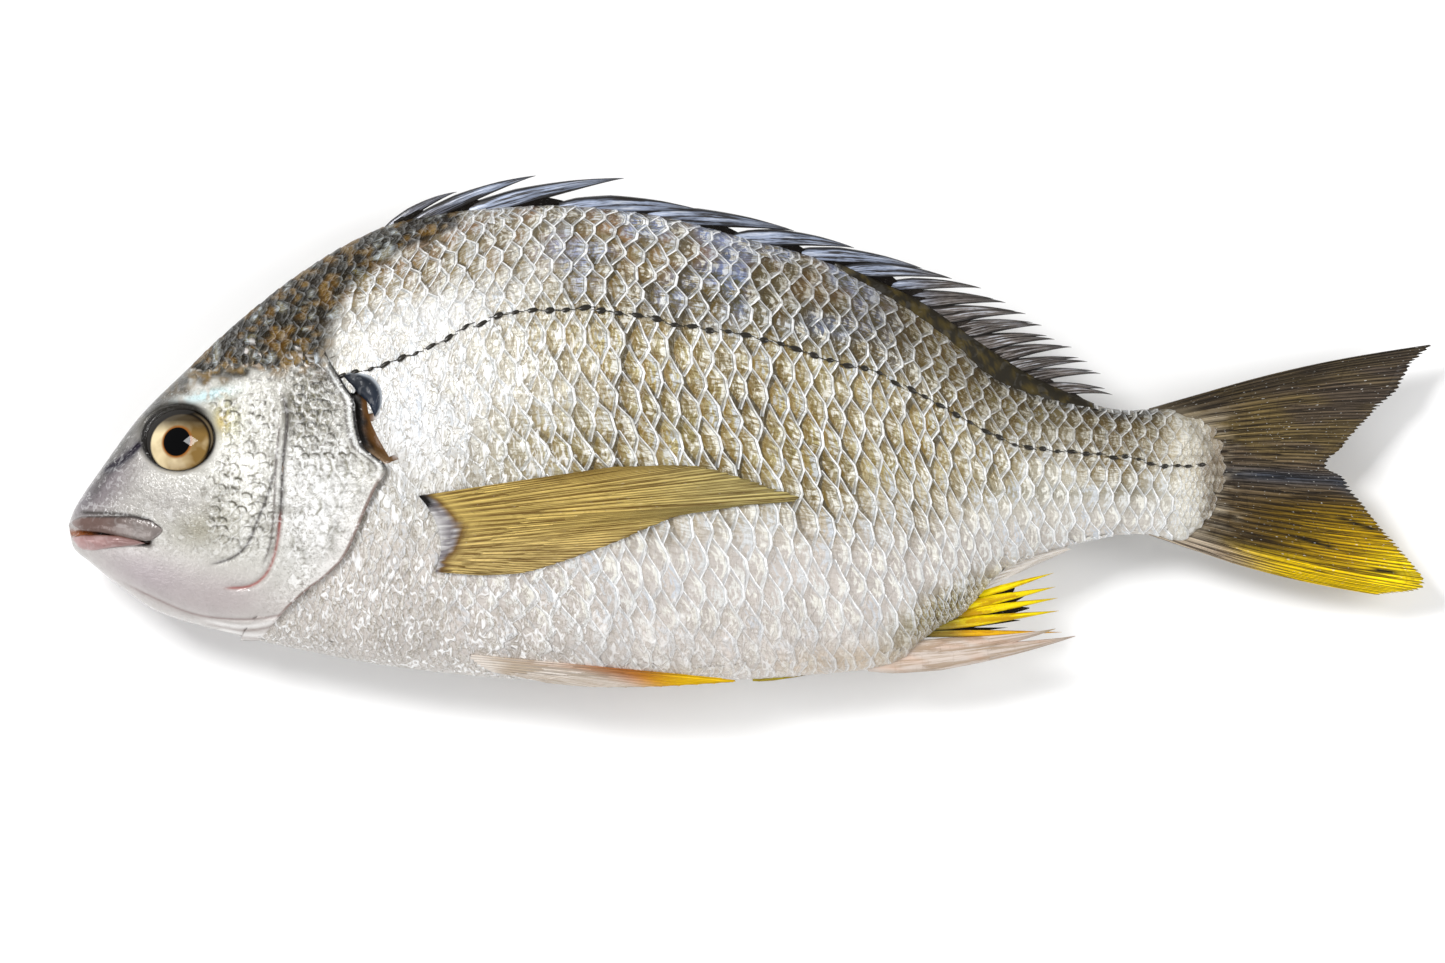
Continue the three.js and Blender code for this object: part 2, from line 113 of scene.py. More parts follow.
GILL_SKIN_FOLDS = [
    [(30, -44.6), (42, -46.5), (52, -43.8), (60, -38.5), (66.5, -30), (70, -21)],
    [(34, -46.8), (45, -48.6), (54, -45.6), (61.5, -39.5)],
]
MOUTH_LINE = [(0, -23.7), (3, -23.9), (7, -23.8), (11, -24), (15, -24.9), (19, -26)]
UPPER_JAW_PLATE = [(0.7, -21.3), (4, -21.5), (8, -21.7), (13.1, -22.2), (18.3, -23.0), (22.4, -23.1)]
LOWER_LIP = [(0.9, -25), (3.4, -25.8), (5.6, -26), (8.4, -25.8), (12, -25.7), (18.3, -26.1)]
NOSTRILS = [[(9.1, -8.8), (11.6, -7.6), (14.2, -5.7)], [(15, -5), (16.6, -3.2)]]
EYE_CENTRE = (26, -1.6)
EYE_RADIUS = 8.5
EYE_SQUASH = 0.87
EYE_BULGE = 2.3
LATERAL_LINE = [
    (50, 8), (64.8, 13.2), (70.7, 14), (75.8, 15.8), (83.1, 18.8), (95, 24.5), (102.1, 26.8), (114.5, 28.3),
    (124.3, 28.2), (142.1, 24.9), (160.1, 21.9), (178.1, 16.7), (187, 14.2), (203.4, 6.1), (212.3, 1.2),
    (220, -2.5), (225.9, -3.9), (239.2, -5.3), (248.4, -6.4), (257.3, -8.1), (TRUNK_END, -7.8),
]

# ------------------------------------------------------------------ sizes of the scales
SCALE_LENGTHS = [
    (20, 3.4), (70, 4.0), (100, 4.5), (135, 4.9), (165, 4.7), (195, 4.2), (235, 3.8), (TRUNK_END, 3.2),
]
SCALE_ROWS = [(20, 4.6), (70, 5.6), (120, 6.7), (170, 6.5), (220, 5.3), (245, 4.9), (TRUNK_END, 3.8)]
FIELD_SPAN = 96.0  # rows and columns that the scale map's unit square holds
BREAST_LINE = [(50, -20), (66, -28), (82, -38), (100, -48), (125, -54), (150, -56), (190, -58), (270, -64)]
NAPE_REAR = [(8, 57), (19, 62), (31, 65), (40, 75), (48, 92)]
GILL_FLAP = [(64.8, 13), (68, 11.9), (71, 9.6), (72.3, 6.6), (72.2, 3.4)]
PATCH_CENTRE, PATCH_TURN = (205.5, -42), 30  # the small scales beside the anal fin
NAPE_LINE = [(14, 2), (24, 9), (34, 11.5), (45, 13), (56, 14), (66, 13.5), (74, 16)]

# ------------------------------------------------------------------ the fins' lines
# distance of the foot, tip, width
SPINES = [
    (74, (90.8, 56.1), 2.4), (81, (109.3, 59.9), 3.4), (91.5, (129.9, 59.3), 4.4),
    (114.9, (148.9, 51.5), 5.0), (134.8, (169.7, 47), 4.6), (155.7, (183.8, 43), 4.2),
    (169.7, (199.7, 38.2), 4.0), (180.5, (206.7, 35.8), 3.6), (188.7, (213.5, 33.6), 3.2),
]
SOFT_RAYS = [
    (195.7, (219.3, 30.2), 3.0), (201.5, (224, 27.6), 2.8), (206.2, (227.8, 24.9), 2.8),
    (209.7, (230.8, 21.6), 2.7), (212.8, (234.8, 19.8), 2.6), (216.1, (238.5, 16.4), 2.5),
    (219.8, (241.6, 13.6), 2.4), (227.3, (244.4, 8.6), 2.0),
]
SHEATH_TOP = [(178, 40.3), (186.8, 36.4), (199.2, 30.5), (211.9, 21.7), (226.4, 12.5), (240, 6.6)]
TAIL_ROOT = [(252, 4.8), (257, 4), (262, -0.5), (264, -8), (262, -17), (257.5, -22.8), (252, -23.6)]
TAIL_TIPS = [
    (320, 20.6), (317.6, 18.0), (314.6, 15.2), (310.6, 8.5), (302.9, 1.3), (298.6, -3.6), (295, -8.3),
    (299.6, -11.4), (306, -20.5), (312.5, -27.7), (317.9, -36.2), (307, -38.4),
]
TAIL_GAPS = [[(296, -19.6), (309.5, -24.2)], [(303, -32), (315, -33.6)], [(285, -24), (299, -28)]]
PECTORAL_ROOT = [(82.4, -15.0), (84.8, -18.2), (86.8, -22.5), (87.5, -27.5), (86.2, -32.8)]
PECTORAL_TIPS = [
    (128, -8.2), (147, -8), (159, -11), (172.5, -15.6), (160.6, -17), (151.2, -18.4), (141.6, -20.2),
    (125.9, -26.8), (109.1, -32.5), (97.8, -33.6),
]
PELVIC_ROOT = [(93.9, -52.3), (96.6, -54.4), (99.5, -55.8)]
PELVIC_TIPS = [(143, -56.8), (156.8, -58.3), (146, -59.3), (133.7, -59.8), (122, -59.7), (112, -58.8)]
FAR_BELLY_TIP = [((160, -57.9), (173.5, -56.9), 1.6)]
ANAL_SPINES = [((187, -54.2), (235.7, -47.9), 5.6), ((193, -51.0), (231, -46.2), 4.4)]
# foot, tip, width
ANAL_RAYS = [
    ((198, -47.4), (232.5, -47.0), 1.8), ((202, -45.6), (231.8, -42.0), 2.5),
    ((205.5, -43.2), (231.5, -39.0), 2.4), ((208.5, -41.0), (231.0, -36.4), 2.3),
    ((211.5, -38.8), (230.6, -33.1), 1.8),
]
ANAL_WEB_TIPS = [(219, -46.6), (224, -44), (226, -40.8), (225, -37.8), (220, -36)]
ANAL_ROOT = [(198, -48.5), (204, -45), (209, -41.6), (213, -38)]
LAST_WEB_ROOT = [(213, -37.5), (217.5, -32.8), (222, -29.6)]
LAST_WEB_TIPS = [(226.5, -31.2), (235, -27.5), (232, -26.4)]


# ------------------------------------------------------------------ curves and masks
def through(points):
    """A smooth function through the points that never swings past them."""
    places, values = np.array(points, float).T
    rise = np.diff(values) / np.diff(places)
    both = rise[:-1] * rise[1:]
    mean = 2 * both / np.where(both > 0, rise[:-1] + rise[1:], 1)
    slopes = np.concatenate([rise[:1], np.where(both > 0, mean, 0), rise[-1:]])

    def value_at(place):
        place = np.asarray(place, float)
        i = np.clip(np.searchsorted(places, place) - 1, 0, len(places) - 2)
        width = places[i + 1] - places[i]
        t = np.clip((place - places[i]) / width, 0, 1)
        ends = (2 * t**3 - 3 * t**2 + 1) * values[i] + (3 * t**2 - 2 * t**3) * values[i + 1]
        return ends + ((t**3 - 2 * t**2 + t) * slopes[i] + (t**3 - t**2) * slopes[i + 1]) * width

    return value_at


def drawn_through(points, count):
    """Evenly spaced places along a free curve through the points."""
    knots = np.array(points, float)
    knots = np.vstack([2 * knots[0] - knots[1], knots, 2 * knots[-1] - knots[-2]])
    t = np.linspace(0, 1, 16, endpoint=False)[:, None]
    spans = []
    for a, b, c, d in zip(knots[:-3], knots[1:-2], knots[2:-1], knots[3:]):
        square, cube = 2 * a - 5 * b + 4 * c - d, 3 * b - a - 3 * c + d
        spans.append(0.5 * (2 * b + (c - a) * t + square * t**2 + cube * t**3))
    path = np.vstack([*spans, knots[-2:-1]])
    length = np.concatenate([[0], np.cumsum(np.linalg.norm(np.diff(path, axis=0), axis=1))])
    even = np.linspace(0, length[-1], count)
    return np.stack([np.interp(even, length, path[:, k]) for k in range(path.shape[1])], axis=1)


def fade(low, high, value):
    """0 below low, 1 above high, smooth between them; low may be the larger."""
    t = np.clip((np.asarray(value, float) - low) / (high - low), 0, 1)
    return t * t * (3 - 2 * t)


def nearness(line, d, y, width, fading=0.12):
    """1 on a line, falling off over its width and fading towards both of its ends."""
    path = drawn_through(line, 240)
    places = np.stack([np.ravel(d), np.ravel(y)], axis=1)
    inside = (places > path.min(axis=0) - 3 * width) & (places < path.max(axis=0) + 3 * width)
    close = np.flatnonzero(inside.all(axis=1))
    near = np.zeros(len(places))
    for part in np.array_split(close, len(close) // 20000 + 1):
        away = ((places[part, None] - path) ** 2).sum(axis=2)
        at = away.argmin(axis=1)
        along = at / (len(path) - 1)
        ends = fade(0, fading, along) * fade(1, 1 - fading, along) if fading else 1
        near[part] = np.exp(-away[np.arange(len(at)), at] / width**2) * ends
    return near.reshape(np.shape(d))


def dab(d, y, centre, size, turn=0.0):
    """A soft oval patch, turned by so many degrees."""
    angle = np.radians(turn)
    x, h = d - centre[0], y - centre[1]
    along = x * np.cos(angle) + h * np.sin(angle)
    across = h * np.cos(angle) - x * np.sin(angle)
    return np.exp(-((along / size[0]) ** 2) - (across / size[1]) ** 2)


def mottle(d, y, size, seed):
    """Soft random patches from 0 to 1, about so many millimetres wide."""
    count = 67
    table = np.random.default_rng(seed).random((count, count))
    gx, gy = np.asarray(d) / size, np.asarray(y) / size
    ix, iy = np.floor(gx).astype(int), np.floor(gy).astype(int)
    fx, fy = fade(0, 1, gx - ix), fade(0, 1, gy - iy)
    left, right, lower, upper = ix % count, (ix + 1) % count, iy % count, (iy + 1) % count
    low = table[left, lower] * (1 - fx) + table[right, lower] * fx
    high = table[left, upper] * (1 - fx) + table[right, upper] * fx
    return low * (1 - fy) + high * fy


back_line = through(BACK)
belly_line = through(BELLY)
half_thickness = through(HALF_THICKNESS)
widest_at = through(WIDEST_AT)
back_roundness = through(BACK_ROUNDNESS)
belly_roundness = through(BELLY_ROUNDNESS)
middle_plane = through(MIDDLE_PLANE)
gill_edge = through([(y, d) for d, y in GILL_EDGE])
lateral_line = through(LATERAL_LINE)
breast_line = through(BREAST_LINE)
nape_line = through(NAPE_LINE)
nape_rear = through(NAPE_REAR)


# ------------------------------------------------------------------ the skin
def trunk_skin(d, y):
    """The bare trunk's height above the middle plane."""
    top, bottom = back_line(d), belly_line(d)
    up = np.clip((y - bottom) / (top - bottom), 0, 1)
    widest = widest_at(d)
    upper = up > widest
    out = np.where(upper, (up - widest) / (1 - widest), (widest - up) / widest)
    roundness = np.where(upper, back_roundness(d), belly_roundness(d))
    return half_thickness(d) * np.maximum(0, 1 - out * out) ** roundness


def head_skin(d, y):
    """The head's height: the gill cover stands over the trunk and falls away to the cheek."""
    bare = trunk_skin(d, y)
    ahead = np.maximum(0, gill_edge(y) - d)
    full = fade(COVER_BOTTOM - COVER_FADE_HEIGHT, COVER_BOTTOM, y)
    full *= fade(COVER_TOP, COVER_TOP - COVER_FADE_HEIGHT, y)
    step = HEAD_LIFT + COVER_RISE * full * np.exp(-ahead / COVER_FADE)
    return bare + step * np.minimum(1, 2 * bare / half_thickness(d))


def ring_height(d, angle):
    """The height on the length line of a ring's point: 0 is the back ridge, pi the belly ridge."""
    turn = np.cos(angle)
    widest = widest_at(d)
    up = widest + turn * np.where(turn > 0, 1 - widest, widest)
    return belly_line(d) + (back_line(d) - belly_line(d)) * up


def from_eye(d, y):
    """Distance from the eye's middle, the same all along the rim of its opening."""
    return np.hypot(d - EYE_CENTRE[0], (y - EYE_CENTRE[1]) / EYE_SQUASH)


def body_skin(d, y):
    """The skin that the scales lie on: the trunk's, and the head's above the gill slit."""
    above_slit = fade(12, 16, y) * fade(gill_edge(y) + 1.5, gill_edge(y) - 1.5, d)
    return trunk_skin(d, y) + above_slit * (head_skin(d, y) - trunk_skin(d, y))


def slant_of(across, corner):
    """How far the slanting sides of a scale's rim fall back behind its straight middle, in columns."""
    return 0.52 * np.clip((np.abs(across) - corner) / (1 - corner), 0, 1) ** 0.95


def rim_of(across):
    """How far ahead of a scale's middle its rim is, in columns."""
    return 0.5 - slant_of(across, PLATE_CORNER)


def scale_pattern(columns, rows, seed):
    """The uppermost scale at a place on their map: the distance to its rim, its height and its chance."""
    count = 61
    table = np.random.default_rng(seed).random((count, count))
    best = np.full(np.shape(columns), np.inf)
    rim, chance = np.zeros_like(best), np.zeros_like(best)
    for step in (-1, 0, 1):
        row = np.round(rows) + step
        across = (rows - row) / PLATE_HALF_HEIGHT
        ahead = rim_of(across)
        stagger = 0.5 * (row % 2)
        middle = np.ceil(columns - ahead - stagger) + stagger
        nearer = (np.abs(across) < 1) & (middle < best)
        best = np.where(nearer, middle, best)
        rim = np.where(nearer, middle + ahead - columns, rim)
        own_chance = table[row.astype(int) % count, (2 * middle).astype(int) % count]
        chance = np.where(nearer, own_chance, chance)
    return rim, (columns - best + PLATE_REACH - 0.5) / PLATE_REACH, chance


def cheek_scales(d, y):
    turned = np.radians(-24)
    along = (d - 40) * np.cos(turned) + (y + 10) * np.sin(turned)
    across = (y + 10) * np.cos(turned) - (d - 40) * np.sin(turned)
    shown = fade(31, 37, d) * fade(50, 48, d) * fade(-31, -24, y) * fade(10, 6, y)
    shown *= fade(EYE_RADIUS + 1.5, EYE_RADIUS + 4, from_eye(d, y))
    return (*scale_pattern(along / 2.5, across / 2.9, 51), shown)


def cover_scales(d, y):
    pitch = 2.7 + 1.5 * fade(6, -12, y)
    along = (d - 60 + 0.15 * y) / (0.92 * pitch)
    shown = fade(51.5, 54, d) * fade(1.8, 4.5, gill_edge(y) - d) * fade(-36, -26, y) * fade(17, 13, y)
    return (*scale_pattern(along, y / pitch, 52), shown)


def nape_scales(d, y):
    along = (d * 0.77 + y * 0.64) / 2.6
    across = (y * 0.77 - d * 0.64) / 2.9
    shown = fade(0, 3, y - nape_line(d)) * fade(22, 32, d)
    return (*scale_pattern(along, across, 53), shown)


def head_folds(d, y):
    """How curly slime and loose skin are: most on cheek and gill cover, least on jaw, lips and eye."""
    folds = 0.35 + 0.25 * fade(30, 37, d) * fade(-30, -24, y) + 0.4 * fade(50, 54, d) * fade(2, -4, y)
    folds *= 1 - 0.5 * dab(d, y, (58, 7), (8, 8))
    folds *= 1 - 0.9 * fade(-24, -29, y + 0.1 * d) * fade(52, 42, d)
    folds *= 1 - 0.45 * fade(56, 60, d) * fade(-4, -10, y)
    folds *= 1 - 0.88 * fade(-1.5, 1.5, y - nape_line(d))
    return folds * fade(EYE_RADIUS + 1.0, EYE_RADIUS + 3.5, from_eye(d, y))


def head_scaliness(d, y):
    """How clear the small scales of the head are at a place: on cheek, gill cover and nape."""
    cheek = fade(31, 37, d) * fade(50, 48, d) * fade(-31, -22, y) * fade(11, 7, y)
    cover = fade(51.5, 54, d) * fade(1.8, 4.5, gill_edge(y) - d) * (0.3 + 0.7 * fade(-14, 0, y))
    cover *= fade(-36, -26, y)
    cover *= fade(20, 15, y)
    nape = 0.6 * fade(0, 3, y - nape_line(d)) * fade(22, 32, d)
    clear = np.maximum(np.maximum(cheek, 1.2 * cover), nape) * (0.5 + 0.8 * mottle(d, y, 5, 62))
    return np.clip(clear, 0, 1) * fade(EYE_RADIUS + 1.5, EYE_RADIUS + 4, from_eye(d, y))


def head_relief(d, y):
    """What stands out of the smooth head, or is sunk into it."""
    relief = -0.8 * nearness(CHEEK_GROOVE, d, y, 0.7)
    relief += 0.4 * nearness([(p - 2.2, q) for p, q in CHEEK_GROOVE[1:6]], d, y, 1.1)
    relief -= 0.5 * nearness(INNER_CHEEK_GROOVE, d, y, 0.6)
    relief -= 0.6 * nearness(JAW_FOLD, d, y, 0.6)
    relief += 0.4 * nearness([(p, q - 1.6) for p, q in JAW_FOLD[1:]], d, y, 1.0)
    for fold in GILL_SKIN_FOLDS:
        relief -= 0.5 * nearness(fold, d, y, 0.5)
        relief += 0.35 * nearness([(p - 0.4, q + 1.3) for p, q in fold], d, y, 0.8)
    for slit in NOSTRILS:
        relief -= 0.9 * nearness(slit, d, y, 0.55, 0)
        relief += 0.25 * nearness(slit, d, y, 1.5, 0)
    relief -= 1.7 * nearness(MOUTH_LINE, d, y, 0.9, 0)
    away = from_eye(d, y)
    relief -= 1.2 * np.exp(-(((away - EYE_RADIUS - 0.2) / 0.7) ** 2))
    relief += 0.35 * np.exp(-(((away - EYE_RADIUS - 2.0) / 1.1) ** 2)) * fade(-12, 2, y)
    relief -= 1.6 * fade(EYE_RADIUS + 0.2, EYE_RADIUS - 1.0, away)
    for (rim, height, chance, shown), rise in (
        (cheek_scales(d, y), 0.34), (cover_scales(d, y), 0.36), (nape_scales(d, y), 0.42),
    ):
        relief += rise * shown * (height - 0.5 + 0.25 * (chance - 0.5) - 0.5 * np.exp(-rim / 0.05))
    relief += 0.14 * head_folds(d, y) * (mottle(d, y * 0.9, 1.3, 5) - 0.5)
    relief += 0.35 * (mottle(d, y, 6, 8) - 0.5)
    return relief * np.minimum(1, 1.6 * trunk_skin(d, y) / half_thickness(d))


# ------------------------------------------------------------------ colours
def linear(code):
    """A sRGB hex colour as linear red, green and blue."""
    parts = np.array([int(code[i : i + 2], 16) for i in (1, 3, 5)]) / 255
    return np.where(parts <= 0.04045, parts / 12.92, ((parts + 0.055) / 1.055) ** 2.4)


def rgba(code):
    return (*linear(code), 1.0)


def one_colour(d, code):
    """The same colour at every point."""
    return np.broadcast_to(linear(code), (*np.shape(d), 3))


def laid_over(paint, *layers):
    """Colours laid over others in turn, each by its share of each point."""
    for share, code in layers:
        paint = paint + (linear(code) - paint) * np.clip(share, 0, 1)[..., None]
    return paint


PEARL = "#c6c3bb"
BELLY_PINK = "#c8c1bc"
FLANK_GOLD = "#9f914f"
UPPER_GREY = "#989078"
BACK_OLIVE = "#5b4e25"
BACK_AMBER = "#9a7247"
BLUE_SHEEN = "#7d93c8"
# near-white of the painted highlight: the key light's glare on the upper front flank
SHOULDER_GLARE_WHITE = "#eceef2"
STAIN = "#64421c"
DARK_MEMBRANE = "#1b1510"


def flank_paint(d, y):
    """The pigment in the middle of the flank's scales, with a painted highlight on the upper front flank
    and painted glints on the nape.
    """
    back, line = back_line(d), lateral_line(d)
    below_back = back - y
    gold = fade(84, 124, d) * fade(-24, -6, y) * (0.1 + 0.9 * fade(240, 205, d))
    stripe = fade(205, 220, d) * fade(262, 250, d) * np.exp(-(((y + 14.2) / 1.6) ** 2))
    upper = fade(line - 3, line + 6, y) * fade(60, 125, d) * (1 - 0.8 * fade(212, 236, d))
    rear_upper = fade(line - 3, line + 6, y) * fade(180, 205, d)
    rear = fade(120, 200, d)
    ridge = fade(9 + 19 * rear, 1.5, below_back)
    amber = fade(26, 4, below_back) * fade(215, 120, d) * fade(0.35, 0.75, mottle(d, y, 3.2, 31))
    blue = fade(30, 12, below_back) * fade(90, 125, d) * fade(205, 165, d)
    blue *= fade(0.4, 0.75, mottle(d, y, 6, 12))
    # painted highlight: where the key light glares on the upper front flank
    shoulder = dab(d, y, (94, 30), (20, 8), 20) + dab(d, y, (80, 2), (15, 14))
    shoulder += 0.4 * dab(d, y, (108, 9), (16, 7))
    nape = fade(-1, 2, y - nape_line(d)) * fade(3, -3, d + 3 * (mottle(d, y, 3, 17) - 0.5) - nape_rear(y))
    speck = mottle(d, y, 1.5, 23)
    patch = dab(d, y, PATCH_CENTRE, (12, 4.4), PATCH_TURN)
    root = fade(262, 270, d + 6 * (mottle(d * 0.5, y, 1.4, 18) - 0.5))
    paint = laid_over(
        one_colour(d, PEARL),
        (0.8 * fade(-14, -34, y) + 0.2 * fade(10, -14, y), BELLY_PINK),
        (0.95 * gold * (0.6 + 0.4 * mottle(d, y, 8, 19)), FLANK_GOLD),
        (0.45 * stripe, "#57553a"),
        (0.9 * upper, UPPER_GREY),
        (0.75 * upper * fade(130, 165, d) * fade(212, 190, d), "#5a5745"),
        (0.55 * rear_upper * fade(262, 246, d), "#948a58"),
        (0.6 * fade(216, 238, d) * fade(-17, -9, y) * fade(6, -2, y), "#e2e0d4"),
        (ridge * (0.5 + 0.35 * rear), BACK_OLIVE),
        (0.9 * fade(3.4, 0.8, below_back) * fade(205, 222, d) * fade(262, 252, d), "#1f1b10"),
        (0.7 * amber, BACK_AMBER),
        (0.8 * blue, BLUE_SHEEN),
        (0.8 * shoulder * fade(60, 70, d), SHOULDER_GLARE_WHITE),
        (0.97 * nape, "#15120a"),
        (0.85 * nape * fade(0.54, 0.76, speck), "#876c38"),
        # painted glints: the palest specks on the dark nape
        (0.85 * nape * fade(0.26, 0.1, speck), "#c3cdd4"),
        (0.5 * fade(8, 2, y - belly_line(d)) * fade(150, 180, d) * fade(215, 195, d), "#c3a983"),
        (0.9 * patch, "#98935f"),
        (0.75 * fade(253, 262, d), "#dedacd"),
        (0.85 * root, "#6e5d45"),
    )
    return paint * (0.88 + 0.24 * mottle(d, y, 5, 4))[..., None]


def flank_spots(d, y):
    """How strong the golden foot (partly painted shade), the ribs and the painted shadow lines beside the
    covering
    rims of a scale are: strong on the back, faint below.
    """
    high = fade(-32, -8, y - 12 * fade(200, 225, d))
    spots = 0.06 + 0.94 * high * fade(84, 132, d) * (0.35 + 0.65 * fade(240, 205, d))
    spots = np.maximum(spots, 0.9 * fade(24, 10, back_line(d) - y)) * (0.5 + 0.5 * fade(262, 246, d))
    spots = np.maximum(spots, 0.7 * dab(d, y, PATCH_CENTRE, (13, 5), PATCH_TURN))
    return np.clip(spots * (0.55 + 0.9 * mottle(d, y, 11, 27)), 0, 1)


def rim_strength(d, y):
    """How clear the rims of the scales are, and with them the painted rim highlights, the painted sheen and
    the
    painted shadow lines: clear on the flank, faint on nape, breast and belly.
    """
    rims = 1 - 0.6 * fade(-38, -52, y)
    rims *= 1 - 0.9 * fade(-1, 2, y - nape_line(d)) * fade(4, -2, d - nape_rear(y))
    rims *= 1 - 0.6 * fade(135, 185, d) * fade(20, 7, back_line(d) - y)
    rims *= 1 - 0.5 * fade(112, 84, d) * fade(14, -8, y)
    return rims * (1 - 0.2 * fade(254, 264, d)) * (1 - 0.65 * fade(263, 270, d))


def curl_strength(d, y):
    """How curly the slime and the loose skin over the scales are, and so how strong the curls' painted
    highlights
    and shade lines are: most on shoulder and breast.
    """
    curls = fade(150, 96, d) * (0.45 + 0.55 * fade(34, 14, y))
    curls = np.maximum(curls, 0.5 * fade(-30, -46, y) * fade(210, 150, d))
    curls *= 1 - 0.9 * fade(-1.5, 1.5, y - nape_line(d)) * fade(4, -2, d - nape_rear(y))
    return np.clip(curls * (0.7 + 0.6 * mottle(d, y, 9, 44)), 0, 1)


# colour, share, centre, size, turn
HEAD_DABS = [
    ("#7f767b", 0.95, (8, -14), (13, 7), 45),
    ("#655c64", 0.9, (8, -10), (10, 3.0), 52),
    ("#57515a", 0.7, (4, -15.5), (5, 1.6), 52),
    ("#a39f9b", 0.85, (23, -17), (12, 6), 5),
    ("#87826f", 0.8, (31, -23), (6, 4), 10),
    ("#8e8977", 0.6, (37, -20), (5, 4), 60),
    # near-white cheek: partly its own silver, partly painted highlight
    ("#f1f0ea", 0.95, (43, -8), (7, 13), 0),
    ("#9d9961", 0.85, (37.5, 3), (3.4, 5), 20),
    ("#c9a93f", 0.6, (36.5, 2.5), (1.6, 2.4), 0),
    # near-white gill cover: partly its own silver, partly painted highlight
    ("#f6f6f6", 1.0, (59, -16), (9, 16), 0),
    ("#4d4833", 1.1, (57, 5), (8, 9), 0),
    ("#3d3927", 0.9, (60, 12), (6, 4), 60),
    ("#3a3222", 0.8, (24, 10), (6, 2.4), 42),
    ("#b0a6a9", 1.0, (20, -34), (18, 6), -22),
    ("#b8aeae", 0.9, (36, -39), (14, 6), -5),
    ("#d0c9c6", 0.9, (52, -44), (14, 5), 30),
    # near-white lower gill cover: partly its own silver, partly painted highlight
    ("#e6e3e0", 0.9, (64, -30), (6, 12), -28),
]


